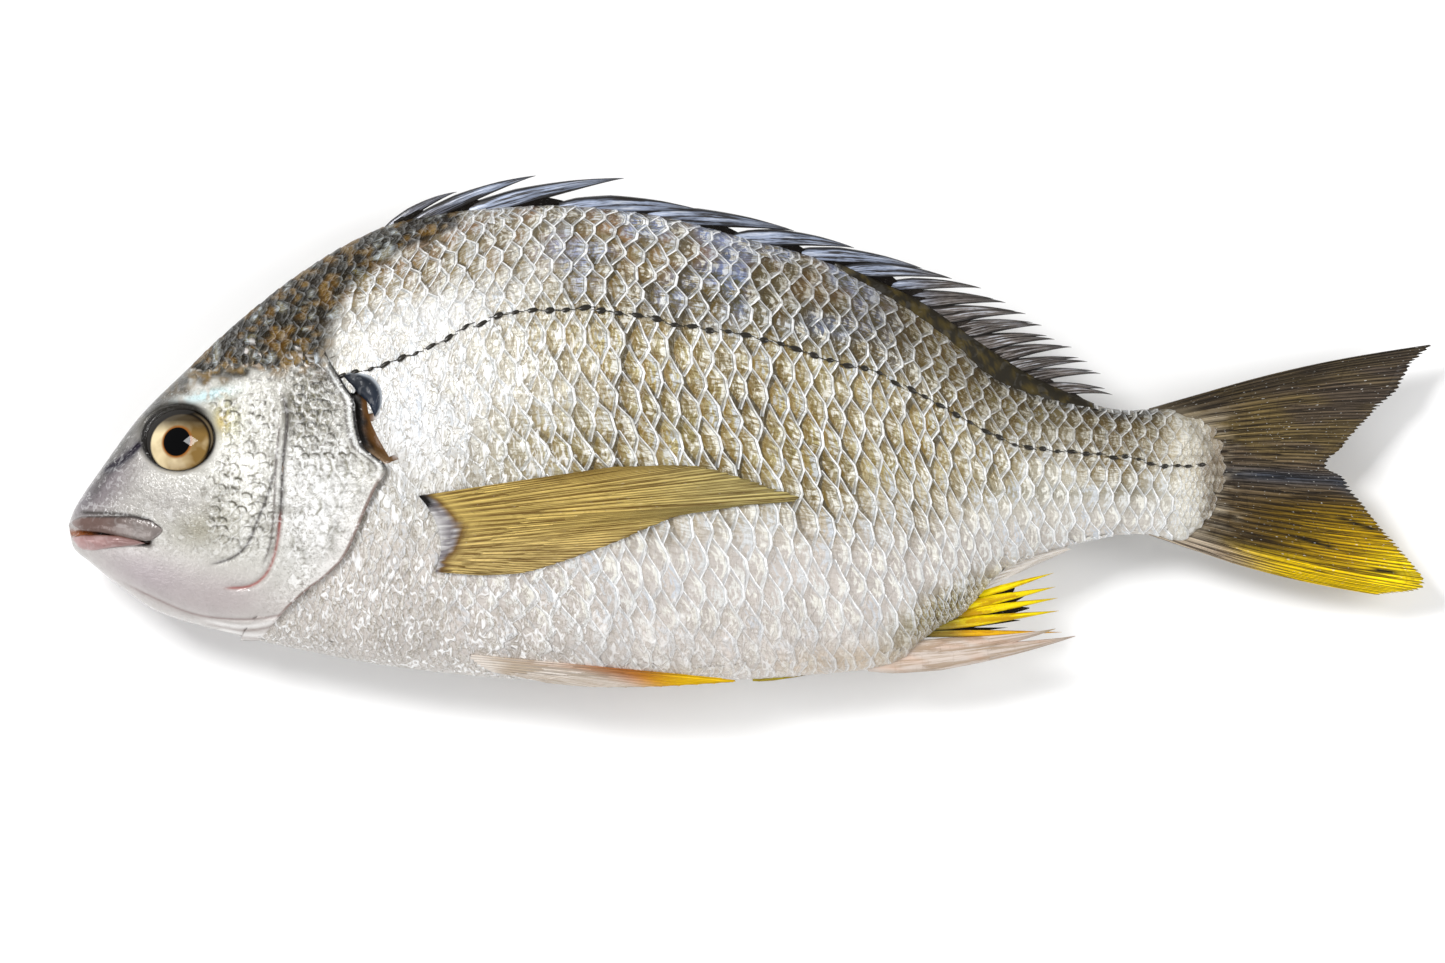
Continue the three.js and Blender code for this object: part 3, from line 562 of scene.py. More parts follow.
def head_paint(d, y):
    """The head's colours: dark brow, silver cheek and white gill cover, both partly painted highlight, and
    a pink lower jaw.
    """
    coarse, fine = mottle(d, y, 2.3, 15), mottle(d, y, 1.1, 16)
    grey = fade(-34, -22, y) * fade(16, 6, y) * fade(22, 34, d)
    paint = laid_over(
        one_colour(d, "#c9c7c0"),
        *[(share * dab(d, y, centre, size, turn), code) for code, share, centre, size, turn in HEAD_DABS],
        (0.45 * grey * fade(0.6, 0.85, coarse), "#6f6a5c"),
    )
    # small head scales: a white line at each rim, partly its own pale edge and partly a painted highlight,
    # a dark hairline inside it and a darker foot that is partly painted shade
    for rim, _, chance, shown in (cheek_scales(d, y), cover_scales(d, y)):
        dim = shown * (0.2 + 0.8 * chance)
        paint = laid_over(
            paint,
            (0.9 * dim * np.exp(-(((rim - 0.26) / 0.11) ** 2)), "#6a664c"),
            (0.7 * dim * fade(0.65, 1.0, rim), "#5f5a42"),
            (0.45 * shown * np.exp(-((rim / 0.12) ** 2)), "#fdfdfd"),
        )
    above = y - nape_line(d)
    top = fade(-2.2, 2.4, above + 5 * (coarse - 0.5)) * fade(6, 16, d)
    ridge = fade(7, 1.5, back_line(d) - y) * fade(2, 10, d)
    dark = np.maximum(top, 0.92 * ridge)
    amber = fade(5, -1, np.abs(above - 1.5)) * fade(24, 32, d) * fade(62, 54, d)
    rim, _, chance, shown = nape_scales(d, y)
    glint = dab(d, y, (54, 22), (6, 2.6), 45) + dab(d, y, (57, 19), (3, 3), 0)
    glint += dab(d, y, (44, 19), (5, 3), 30)
    paint = laid_over(
        paint,
        (0.97 * dark, "#272113"),
        ((0.25 * top + 0.7 * amber) * fade(0.4, 0.75, 0.4 * coarse + 0.6 * fine), "#82662f"),
        (0.7 * dark * fade(0.35, 0.15, coarse), "#100e09"),
        (0.7 * shown * chance * np.exp(-((rim / 0.1) ** 2)), "#a8a48f"),
        # painted glints: pale specks on the dark brow and nape, and small streaks between eye and nape
        (0.7 * top * fade(0.84, 0.95, fine), "#cfdadd"),
        (0.85 * glint * fade(0.5, 0.8, fine), "#e9e2e0"),
        (1.1 * dab(d, y, (33, 8.4), (6, 1.2), 12) * fade(0.2, 0.5, fine), "#d3ecf0"),
        (0.8 * dab(d, y, (45, 11), (5, 1.4), 4) * fade(0.3, 0.6, fine), "#e9e9e2"),
        # painted shade: the dark lines in the cheek grooves, the inner cheek groove and the jaw fold
        (1.0 * nearness(CHEEK_GROOVE[:5], d, y, 0.45), "#2c2320"),
        (0.85 * nearness(CHEEK_GROOVE[3:], d, y, 0.35), "#9a463c"),
        (0.85 * nearness([(p - 1.6, q) for p, q in CHEEK_GROOVE[1:6]], d, y, 0.3), "#5a504c"),
        (0.9 * nearness(INNER_CHEEK_GROOVE, d, y, 0.35), "#3d3735"),
        (0.7 * nearness(JAW_FOLD, d, y, 0.3), "#8a7672"),
    )
    for fold in GILL_SKIN_FOLDS:
        paint = laid_over(
            paint,
            # painted shade in each gill-skin fold and a painted highlight along its raised side
            (0.7 * nearness(fold, d, y, 0.35), "#8d7a74"),
            (0.7 * nearness([(p - 0.3, q + 0.9) for p, q in fold], d, y, 0.45), "#f7f4f2"),
        )
    away = from_eye(d, y)
    brow = fade(EYE_RADIUS + 2.4, EYE_RADIUS + 0.6, away) * fade(2, 6, y)
    edge = gill_edge(y) - d
    upper_slit = fade(-12, -7, y) * fade(19, 12, y)
    pale = 0.7 * np.exp(-(((edge - 1.2) / 0.32) ** 2)) * fade(-30, -14, y) * upper_slit
    lower = fade(-8, -14, y) * fade(-46, -40, y)
    paint = laid_over(
        paint,
        # painted shade in the nostrils and in the mouth's gap
        *[(1.2 * nearness(slit, d, y, 1.1, 0), "#231c2b") for slit in NOSTRILS],
        (1.3 * nearness(MOUTH_LINE, d, y, 0.8, 0), "#2a130a"),
        (1.3 * nearness(MOUTH_LINE[:3], d, y, 0.8, 0) * fade(8, 4, d), "#8a4a12"),
        (0.9 * nearness([(2, -18.9), (13, -19.4), (20.5, -20.9)], d, y, 0.5), "#2e2724"),
        (fade(EYE_RADIUS + 0.8, EYE_RADIUS + 0.2, away), "#120d09"),
        (0.95 * brow, "#171208"),
        # painted shade: black in the gill slit's gap along the cover's edge
        (fade(0.9, 0.3, edge) * upper_slit, "#100c0a"),
        (0.9 * pale, "#e8ebee"),
        (0.8 * np.exp(-(((edge - 2.1) / 0.35) ** 2)) * upper_slit, "#45403c"),
        (0.8 * fade(0.7, 0.2, edge) * lower, "#6d4a3c"),
    )
    return paint * (0.9 + 0.2 * mottle(d, y, 1.7, 14) * (0.4 + 0.6 * fade(-30, -20, y)))[..., None]


def tail_paint(d, y):
    """Dark olive-brown above, turning olive and then bright yellow towards the lower lobe's edge."""
    streaky = fade(0.35, 0.7, mottle(d * 0.25, y + 0.12 * (d - 260), 2.2, 71))
    blue = dab(d, y, (283, -10.5), (22, 1.7), -4) + dab(d, y, (303, -16.5), (7, 2.2), -40)
    lower_edge = np.interp(d, [252, 280, 300, 320], [-23.6, -32, -36.5, -39])
    yellow = fade(278, 306, d) * fade(-14, -27, y)
    upper_edge = np.interp(d, [248, 262, 290, 320], [5, 6.4, 13.4, 20.6])
    pale = fade(274, 265, d + 12 * (mottle(d * 0.5, y, 1.0, 29) - 0.5)) * fade(7, 2, y)
    return laid_over(
        one_colour(d, "#554837"),
        (0.55 * streaky * fade(-10, -2, y), "#6b5a2c"),
        (0.6 * fade(276, 312, d) * fade(-6, 8, y), "#453d39"),
        (0.85 * blue, "#343c49"),
        (0.9 * fade(262, 285, d) * fade(-12, -19, y), "#503c02"),
        (0.95 * yellow, "#b48f00"),
        (0.95 * fade(6, 1.5, y - lower_edge) * fade(264, 285, d), "#dcb800"),
        (0.95 * fade(298, 314, d) * fade(-24, -32, y), "#f4d40a"),
        (0.8 * fade(4, 0.5, y - lower_edge) * fade(286, 262, d), "#cdb8a4"),
        *[(1.1 * nearness(gap, d, y, 0.45, 0.3), "#120e05") for gap in TAIL_GAPS],
        (0.6 * fade(3.5, 0.5, upper_edge - y), "#2c2519"),
        (0.7 * pale, "#968b78"),
    )


def pectoral_paint(d, y):
    base = d - np.interp(y, [q for _, q in PECTORAL_ROOT[::-1]], [p for p, _ in PECTORAL_ROOT[::-1]])
    base = base + 1.2 * (mottle(d * 0.3, y, 0.8, 35) - 0.5) - 4.4 * np.exp(-(((y + 22) / 7) ** 2))
    return laid_over(
        one_colour(d, "#bfa55c"),
        (0.5 * fade(-13, -9, y - 0.06 * (d - 130)), "#8f7030"),
        (0.7 * fade(120, 160, d), "#a59a66"),
        (0.55 * fade(-20, -30, y), "#c3ab72"),
        (0.9 * fade(3.4, 0.6, base), "#5e3d16"),
        (0.95 * fade(0.8, -0.4, base), "#7f7b80"),
        (0.8 * fade(-1.2, -3.6, base), "#c9c7c7"),
        (0.45 * fade(1.0, -0.5, base) * fade(0.55, 0.8, mottle(d * 0.7, y * 1.6, 0.8, 36)), "#dddbd9"),
        (1.5 * dab(d, y, (83.6, -16.2), (2.4, 1.6), -35), "#0c0807"),
    )


def pelvic_paint(d, y):
    return laid_over(
        one_colour(d, "#ded5cc"),
        (0.95 * fade(121, 135, d + 3 * (y + 57)), "#d07a00"),
        (0.95 * fade(130, 146, d), "#f0c400"),
        (0.6 * dab(d, y, (126, -55.9), (16, 0.7), -6), "#a96a1c"),
    )


def far_belly_paint(d, y):
    return laid_over(one_colour(d, "#5c5316"), (0.8 * fade(-57, -57.6, y), "#b8a51a"))


def anal_paint(d, y):
    return laid_over(
        one_colour(d, "#ecd400"),
        (0.7 * fade(-44.5, -46.5, y), "#d9961a"),
        (0.85 * fade(213, 205, d), "#6c6733"),
    )


def anal_web_paint(d, y):
    return laid_over(one_colour(d, "#17120a"), (0.8 * fade(208, 202, d), "#7b7547"))


def last_web_paint(d, y):
    return one_colour(d, "#f6f2ee")


def spine_paint(d, y):
    """The back spines: steel blue and silver, browner in the soft rays behind."""
    paint = laid_over(
        one_colour(d, "#949fb6"),
        (0.6 * fade(98, 84, d), "#4a3b30"),
        (fade(192, 206, d), "#6f6762"),
    )
    return paint * (0.7 + 0.6 * mottle(d, y, 3.5, 41))[..., None]


def anal_spine_paint(d, y):
    return laid_over(
        one_colour(d, "#cdc0b6"),
        (0.5 * fade(0.5, 0.8, mottle(d * 0.3, y, 1.2, 37)), "#c9a58c"),
        (0.6 * fade(226, 234, d) * fade(-47.6, -46.6, y), "#e0c23a"),
    )


# ------------------------------------------------------------------ meshes
def settle(points):
    """Millimetres to metres, with the underside pressed flat on the table."""
    points = np.array(points, float).reshape(-1, 3)
    low = points[:, 2] < PRESSED
    points[low, 2] = PRESSED * np.exp((points[low, 2] - PRESSED) / PRESSED)
    return (points + [-TOTAL_LENGTH / 2, LINE_SHIFT, 0]) * MM


def new_object(name, data):
    """An object in the scene."""
    made = bpy.data.objects.new(name, data)
    bpy.context.scene.collection.objects.link(made)
    return made


def give_values(mesh, name, values, kind="FLOAT", key="value"):
    """A number, direction or colour for each point of a mesh."""
    mesh.attributes.new(name, kind, "POINT").data.foreach_set(key, np.ravel(values))


def give_map(mesh, name, places):
    """A flat map with one place for each point of a mesh."""
    corners = np.zeros(len(mesh.loops), np.int32)
    mesh.loops.foreach_get("vertex_index", corners)
    layer = mesh.uv_layers.new(name=name)
    layer.data.foreach_set("uv", np.reshape(places, (-1, 2))[corners].ravel())


def finish_piece(mesh, name, points, paint, material=None, maps=None, values=None):
    """A finished piece of the fish from a mesh and its points in millimetres."""
    mesh.name = name
    mesh.vertices.foreach_set("co", settle(points).ravel())
    for key, data in (values or {}).items():
        give_values(mesh, key, data)
    rgb = np.clip(np.reshape(paint, (-1, 3)), 0, 1)
    give_values(mesh, "pigment", np.hstack([rgb, np.ones((len(rgb), 1))]), "FLOAT_COLOR", "color")
    for key, places in (maps or {}).items():
        give_map(mesh, key, places)
    if material:
        mesh.materials.clear()
        mesh.materials.append(material)
    mesh.polygons.foreach_set("use_smooth", np.ones(len(mesh.polygons), bool))
    mesh.update()
    piece = new_object(name, mesh)
    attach(piece, "root")
    return piece


def mesh_of(points, faces):
    """A mesh with its faces pointing outwards; the volume's sign says which way they point."""
    points = np.array(points, float).reshape(-1, 3)
    faces = np.array(faces)
    a, b, c = points[faces[:, 0]], points[faces[:, 1]], points[faces[:, 2]]
    middle = points.mean(axis=0)
    volume = np.einsum("ij,ij->i", a - middle, np.cross(b - middle, c - middle)).sum()
    if faces.shape[1] == 4:
        e = points[faces[:, 3]]
        volume += np.einsum("ij,ij->i", a - middle, np.cross(c - middle, e - middle)).sum()
    if volume < 0:
        faces = faces[:, ::-1]
    mesh = bpy.data.meshes.new("shape")
    mesh.from_pydata(points.tolist(), [], faces.tolist())
    return mesh


def grid_faces(rows, columns, closed=False):
    """Quads between the rows of a grid; a closed grid joins its last column to the first."""
    r = np.arange(rows - 1)[:, None] * columns
    k = np.arange(columns if closed else columns - 1)[None, :]
    following = (k + 1) % columns
    quads = np.stack([r + k, r + following, r + columns + following, r + columns + k], axis=-1)
    return quads.reshape(-1, 4)


def grid_mesh(name, points, flipped=False):
    """An open sheet through a grid of points."""
    faces = grid_faces(*points.shape[:2])
    mesh = bpy.data.meshes.new(name)
    mesh.from_pydata(points.reshape(-1, 3).tolist(), [], faces[:, :: -1 if flipped else 1].tolist())
    return mesh


def loft(rings):
    """Closed rings joined one to the next, with both ends closed by strips across the ring."""
    rows, count = rings.shape[:2]
    last = (rows - 1) * count
    k = np.arange(count // 2 - 1)
    first_end = np.stack([count - 1 - k, count - 2 - k, k + 1, k], axis=-1)
    last_end = np.stack([last + k, last + k + 1, last + count - 2 - k, last + count - 1 - k], axis=-1)
    return mesh_of(rings, np.vstack([grid_faces(rows, count, True), first_end, last_end]))


def thin_sheet(d, y, middle, half):
    """Rings around a thin sheet: out along its upper face and back along its lower one."""
    upper = np.stack([d, y, middle + half], axis=-1)
    lower = np.stack([d, y, middle - half], axis=-1)
    return there_and_back(upper, lower)


def there_and_back(upper, lower):
    """Two faces of a sheet as rings that run out on the first and back on the second."""
    return np.concatenate([upper, lower[:, ::-1]], axis=1)


# ------------------------------------------------------------------ nodes
def add(tree, kind, inputs=None, **settings):
    """One node with its settings; an input is a value, a hex colour, a socket, or a node whose first live
    output is linked to it. Kinds without the word Node are shader nodes."""
    made = tree.nodes.new(kind if "Node" in kind else f"ShaderNode{kind}")
    for key, value in settings.items():
        setattr(made, key, value)
    for key, value in (inputs or {}).items():
        if isinstance(value, bpy.types.Node):
            value = next(output for output in value.outputs if output.enabled)
        if isinstance(value, bpy.types.NodeSocket):
            tree.links.new(value, made.inputs[key])
        elif str(value).startswith("#"):
            made.inputs[key].default_value = rgba(value)
        else:
            made.inputs[key].default_value = value
    return made


def new_material(name):
    """An empty material, and the function that adds its nodes."""
    material = bpy.data.materials.new(name)
    material.use_nodes = True
    material.node_tree.nodes.clear()
    return material, partial(add, material.node_tree)


WATER_IOR = 1.34  # the slime on a fresh fish bends light as water does


def peak(node, value, centre, half_width):
    """1 where the value meets the centre, falling to 0 on both sides."""
    away = node("Math", {0: value, 1: centre}, operation="SUBTRACT")
    distance = node("Math", {0: away}, operation="ABSOLUTE")
    return node("MapRange", {0: distance, 1: half_width, 2: 0.0})


def scale_material(name, coat, level):
    """Fish scale: clear horn over silver guanine. Each plate has a thin bright rim, partly its own pale
    edge and partly a painted highlight, a dark hairline inside it and a painted shadow just behind the rims
    lying over it;
    ribs fan out over its pigment, silver patches are partly painted sheen, and its golden foot is partly
    painted shade; slime curls over the front ones with painted highlights on their crests and painted shade
    lines."""
    material, node = new_material(name)
    plate = node("SeparateXYZ", {0: node("UVMap", uv_map="plate")}).outputs
    carried = ("chance", "covered", "spots", "rims", "curls")
    chance, covered, spots, rims, curls = [
        node("Attribute", attribute_name=key).outputs["Fac"] for key in carried
    ]
    pigment = node("Attribute", attribute_name="pigment").outputs["Color"]
    shift = node("Math", {0: chance, 1: 53.0}, operation="MULTIPLY")
    own_place = node("CombineXYZ", {0: plate[1], 1: plate[0], 2: shift})

    patches_at = node("VectorMath", {0: own_place, 1: (1.6, 3.4, 1.0)}, operation="MULTIPLY")
    patch = node("TexNoise", {"Vector": patches_at, "Scale": 1.5, "Detail": 2.0})
    bared = node("MapRange", {0: covered, 1: 0.1, 2: 0.75, 3: -0.11, 4: 0.08})
    clearing = node("Math", {0: patch, 1: bared}, operation="ADD")
    ribs_at = node("VectorMath", {0: own_place, 1: (9.0, 1.5, 1.0)}, operation="MULTIPLY")
    ribs = node("TexNoise", {"Vector": ribs_at, "Scale": 1.0, "Detail": 3.0, "Roughness": 0.65})
    spread = node("Math", {0: spots, 1: 0.36, 2: 0.07}, operation="MULTIPLY_ADD")
    odds = node("Math", {0: chance, 1: 0.5}, operation="SUBTRACT")
    light = node("Math", {0: odds, 1: spread, 2: 1.0}, operation="MULTIPLY_ADD")
    own = node("VectorMath", {0: pigment, "Scale": light}, operation="SCALE")
    deep = node("Math", {0: spots, 1: 0.78, 2: 0.1}, operation="MULTIPLY_ADD")
    groove = node("MapRange", {0: ribs, 1: 0.54, 2: 0.42, 3: 0.0, 4: deep})
    # silver patches: partly the scales' own guanine silver, partly painted sheen
    gleam = node("Math", {0: rims, 1: 0.8}, operation="MULTIPLY")
    sheen = node("MapRange", {0: clearing, 1: 0.47, 2: 0.58, 3: 0.0, 4: gleam})
    cool = node("MapRange", {0: chance, 1: 0.45, 2: 0.95})
    silver = node("Mix", {0: cool, 6: "#f3f2ea", 7: "#cbd2dc"}, data_type="RGBA")
    glossed = node("Mix", {0: sheen, 6: own, 7: silver}, data_type="RGBA")
    grooved = node("Mix", {0: 1.0, 6: glossed, 7: "#8f7a3e"}, data_type="RGBA", blend_type="MULTIPLY")
    shining = node("Mix", {0: groove, 6: glossed, 7: grooved}, data_type="RGBA")

    # golden-brown foot: partly the plate's own pigment, partly painted shade where the rims ahead cover it
    brown = node("Mix", {0: 1.0, 6: own, 7: "#aa9150"}, data_type="RGBA", blend_type="MULTIPLY")
    foot = node("MapRange", {0: covered, 1: 0.6, 2: 0.2, 3: 0.0, 4: spots})
    uneven = node("MapRange", {0: patch, 1: 0.58, 2: 0.42, 3: 0.45, 4: 1.0})
    foot_and_shade_share = node("Math", {0: foot, 1: uneven}, operation="MULTIPLY")
    lined = node("Math", {0: deep, 1: rims}, operation="MULTIPLY")
    # painted shadow: a dark line just behind the rims of the plates lying over this one
    contact_shadow = node("MapRange", {0: covered, 1: 0.12, 2: 0.05, 3: 0.0, 4: lined})

    clear = node("Math", {0: rims, 1: 0.4}, operation="MULTIPLY")
    margin_share = node("MapRange", {0: plate[0], 1: 0.22, 2: 0.16, 3: 0.0, 4: clear})
    hair_share = node("Math", {0: peak(node, plate[0], 0.13, 0.035), 1: lined}, operation="MULTIPLY")
    # white rim: partly the plate's own pale edge, partly a painted highlight
    core = node("Math", {0: plate[1]}, operation="ABSOLUTE")
    width = node("MapRange", {0: core, 1: 0.5, 2: 0.3, 3: 0.045, 4: 0.1})
    beyond = node("Math", {0: plate[0], 1: width}, operation="SUBTRACT")
    broken = node("MapRange", {0: patch, 1: 0.40, 2: 0.54, 3: 0.35, 4: 1.0})
    strong = node("Math", {0: broken, 1: rims}, operation="MULTIPLY")
    rim_and_highlight_share = node("MapRange", {0: beyond, 1: 0.02, 2: -0.01, 3: 0.0, 4: strong})

    place = node("TexCoord").outputs["Object"]
    upright = node("VectorMath", {0: place, 1: (1.5, 0.62, 1.0)}, operation="MULTIPLY")
    slime = node("TexNoise", {"Vector": upright, "Scale": 1 / (2.2 * MM), "Detail": 3.0, "Distortion": 1.3})
    # slime curls: a painted shade line along each and painted highlights on their crests
    curl_shade_line = node("Math", {0: peak(node, slime, 0.5, 0.03), 1: curls}, operation="MULTIPLY")
    curl_shade_share = node("Math", {0: curl_shade_line, 1: 0.95}, operation="MULTIPLY")
    crest_share = node("MapRange", {0: slime, 1: 0.55, 2: 0.66, 3: 0.0, 4: curls})
    rib_bump = node("Bump", {"Strength": 0.5, "Distance": 0.12 * MM, "Height": ribs})
    bump = node("Bump", {"Strength": 1.0, "Distance": 0.6 * MM, "Height": slime, "Normal": rib_bump})
    colour = shining
    for share, over in (
        (foot_and_shade_share, brown), (contact_shadow, "#3d3524"), (margin_share, "#c9d0d6"), (hair_share, "#4b442f"),
        (rim_and_highlight_share, "#ffffff"), (curl_shade_share, "#877e6c"), (crest_share, "#f8f8f8"),
    ):
        colour = node("Mix", {0: share, 6: colour, 7: over}, data_type="RGBA")
    look = {
        "Base Color": colour, "Metallic": 0.15, "Roughness": 0.36, "Normal": bump,
        "Specular IOR Level": level, "Coat Weight": coat, "Coat Roughness": 0.07, "Coat IOR": WATER_IOR,
        "Coat Normal": bump,
    }
    node("OutputMaterial", {"Surface": node("BsdfPrincipled", look)})
    return material


def skin_material(name, curl_mm, depth_mm, roughness, coat=0.8):
    """Bare wet fish skin: silver-grey pigment under clear slime. Where "curls" says so, fine loose folds
    run over it with painted white highlights on their crests beside thin lines of painted shade; where
    "scaly" says so, it has small scales, each painted darker on one side and lighter on the other as shade
    and light."""
    material, node = new_material(name)
    place = node("TexCoord").outputs["Object"]
    pigment = node("Attribute", attribute_name="pigment").outputs["Color"]
    curls = node("Attribute", attribute_name="curls").outputs["Fac"]
    slime = node(
        "TexNoise", {"Vector": place, "Scale": 1 / (curl_mm * MM), "Detail": 4.0, "Distortion": 1.2},
    )
    grain = node(
        "TexNoise", {"Vector": place, "Scale": 2.6 / (curl_mm * MM), "Detail": 3.0, "Distortion": 0.5},
    )
    deep = node("Math", {0: curls, 1: 0.62, 2: 0.05}, operation="MULTIPLY_ADD")
    pit = node("MapRange", {0: grain, 1: 0.47, 2: 0.36, 3: 0.0, 4: deep})
    darker = node("Mix", {0: 1.0, 6: pigment, 7: "#8f887c"}, data_type="RGBA", blend_type="MULTIPLY")
    # painted highlights on the crests of the slime folds, painted shade lines along them
    lit = node("MapRange", {0: slime, 1: 0.55, 2: 0.62, 3: 0.0, 4: curls})
    lit_share = node("Math", {0: lit, 1: 0.6}, operation="MULTIPLY")
    line = node("Math", {0: peak(node, slime, 0.5, 0.022), 1: curls}, operation="MULTIPLY")
    fold_shade_share = node("Math", {0: line, 1: 0.8}, operation="MULTIPLY")
    fold_shade_line = node("Mix", {0: 1.0, 6: pigment, 7: "#716a5e"}, data_type="RGBA", blend_type="MULTIPLY")
    scaly = node("Attribute", attribute_name="scaly").outputs["Fac"]
    cell_at = node("VectorMath", {0: place, 1: (330.0, 420.0, 370.0)}, operation="MULTIPLY")
    cells = node("TexVoronoi", {"Vector": cell_at, "Scale": 1.0, "Randomness": 0.72})
    within = node("VectorMath", {0: cell_at, 1: cells.outputs["Position"]}, operation="SUBTRACT")
    rearward = node("VectorMath", {0: within, 1: (0.5, 0.85, 0.0)}, operation="DOT_PRODUCT")
    # small scales: painted shade on the rear side of each, a painted highlight on its front side
    ring = peak(node, cells.outputs["Distance"], 0.46, 0.17)
    ringed = node("Math", {0: ring, 1: scaly}, operation="MULTIPLY")
    behind = node("MapRange", {0: rearward, 1: -0.05, 2: 0.2})
    ahead = node("MapRange", {0: rearward, 1: 0.0, 2: -0.3})
    dark_side = node("Math", {0: ringed, 1: behind}, operation="MULTIPLY")
    light_side = node("Math", {0: ringed, 1: ahead}, operation="MULTIPLY")
    light_share = node("Math", {0: light_side, 1: 0.35}, operation="MULTIPLY")
    shaded_crescent = node("Mix", {0: 1.0, 6: pigment, 7: "#453f24"}, data_type="RGBA", blend_type="MULTIPLY")
    height = node("Math", {0: slime, 1: curls, 2: grain}, operation="MULTIPLY_ADD")
    bump = node("Bump", {"Strength": 0.8, "Distance": depth_mm * MM, "Height": height})
    colour = pigment
    for share, over in (
        (pit, darker), (lit_share, "#fafafa"), (fold_shade_share, fold_shade_line), (dark_side, shaded_crescent),
        (light_share, "#fbfbfa"),
    ):
        colour = node("Mix", {0: share, 6: colour, 7: over}, data_type="RGBA")
    look = {
        "Base Color": colour, "Metallic": 0.1, "Roughness": roughness, "Normal": bump,
        "Specular IOR Level": 0.3, "Coat Weight": coat, "Coat Roughness": 0.06, "Coat IOR": WATER_IOR,
        "Coat Normal": bump,
    }
    node("OutputMaterial", {"Surface": node("BsdfPrincipled", look)})
    return material


def fin_material(name, rays, streaks, glow, dark, glint_share=0.5):
    """Fin web: a thin wet film over rays. Pale lines run along the rays, dark lines lie between them and
    split in two where the rays do, short cross marks show their joints, and white specks are painted
    glints."""
    material, node = new_material(name)
    web = node("SeparateXYZ", {0: node("UVMap", uv_map="web")}).outputs
    pigment = node("Attribute", attribute_name="pigment").outputs["Color"]
    across = node("Math", {0: web[0], 1: float(streaks)}, operation="MULTIPLY")
    along = node("Math", {0: web[1], 1: 2.2}, operation="MULTIPLY")
    streak_at = node("CombineXYZ", {0: across, 1: along})
    streak = node("TexNoise", {"Vector": streak_at, "Scale": 1.0, "Detail": 4.0, "Roughness": 0.7})

    split_at = node("Math", {0: streak, 1: 0.5, 2: web[1]}, operation="MULTIPLY_ADD")
    once = node("Math", {0: split_at, 1: 0.52}, operation="GREATER_THAN")
    twice = node("Math", {0: split_at, 1: 0.84}, operation="GREATER_THAN")
    doubled = node("Math", {0: twice, 1: 2.0, 2: once}, operation="MULTIPLY_ADD")
    count = node("Math", {0: doubled, 1: float(rays), 2: float(rays)}, operation="MULTIPLY_ADD")
    lines = node("Math", {0: web[0], 1: count, 2: streak}, operation="MULTIPLY_ADD")
    wave = node("Math", {0: lines, 1: 0.5}, operation="PINGPONG")
    depth = node("MapRange", {0: web[1], 1: 0.05, 2: 0.16, 3: 0.1, 4: 0.85})
    groove = node("MapRange", {0: wave, 1: 0.16, 2: 0.06, 3: 0.0, 4: depth})
    crest = node("MapRange", {0: wave, 1: 0.30, 2: 0.42, 3: 0.0, 4: 0.85})

    darker = node("Mix", {0: 1.0, 6: pigment, 7: dark}, data_type="RGBA", blend_type="MULTIPLY")
    shade = node("MapRange", {0: streak, 1: 0.52, 2: 0.40, 3: 0.0, 4: depth})
    patchy = node("MapRange", {0: streak, 1: 0.44, 2: 0.58})
    crest_share = node("Math", {0: crest, 1: patchy}, operation="MULTIPLY")
    glowing = node("VectorMath", {0: pigment, "Scale": glow}, operation="SCALE")
    joint_at = node("CombineXYZ", {0: web[0], 1: web[1]})
    joint_scaled = node("VectorMath", {0: joint_at, 1: (9.0, 60.0, 1.0)}, operation="MULTIPLY")
    joints = node("TexNoise", {"Vector": joint_scaled, "Scale": 1.0, "Detail": 1.0})
    joint = node("MapRange", {0: joints, 1: 0.60, 2: 0.68, 3: 0.0, 4: 0.2})
    # white specks: painted glints on the wet film
    speck_at = node("VectorMath", {0: joint_at, 1: (170.0, 46.0, 1.0)}, operation="MULTIPLY")
    specks = node("TexNoise", {"Vector": speck_at, "Scale": 1.0, "Detail": 1.0})
    speck = node("MapRange", {0: specks, 1: 0.70, 2: 0.76, 3: 0.0, 4: glint_share})

    height = node("Math", {0: wave, 1: 1.2, 2: streak}, operation="MULTIPLY_ADD")
    bump = node("Bump", {"Strength": 0.8, "Distance": 0.3 * MM, "Height": height})
    colour = pigment
    for share, over in (
        (shade, darker), (crest_share, glowing), (groove, darker), (joint, darker), (speck, "#f2f0ea"),
    ):
        colour = node("Mix", {0: share, 6: colour, 7: over}, data_type="RGBA")
    look = {
        "Base Color": colour, "Roughness": 0.45, "Specular IOR Level": 0.15, "Normal": bump,
        "Coat Weight": 0.25, "Coat Roughness": 0.12, "Coat IOR": WATER_IOR,
    }
    node("OutputMaterial", {"Surface": node("BsdfPrincipled", look)})
    return material


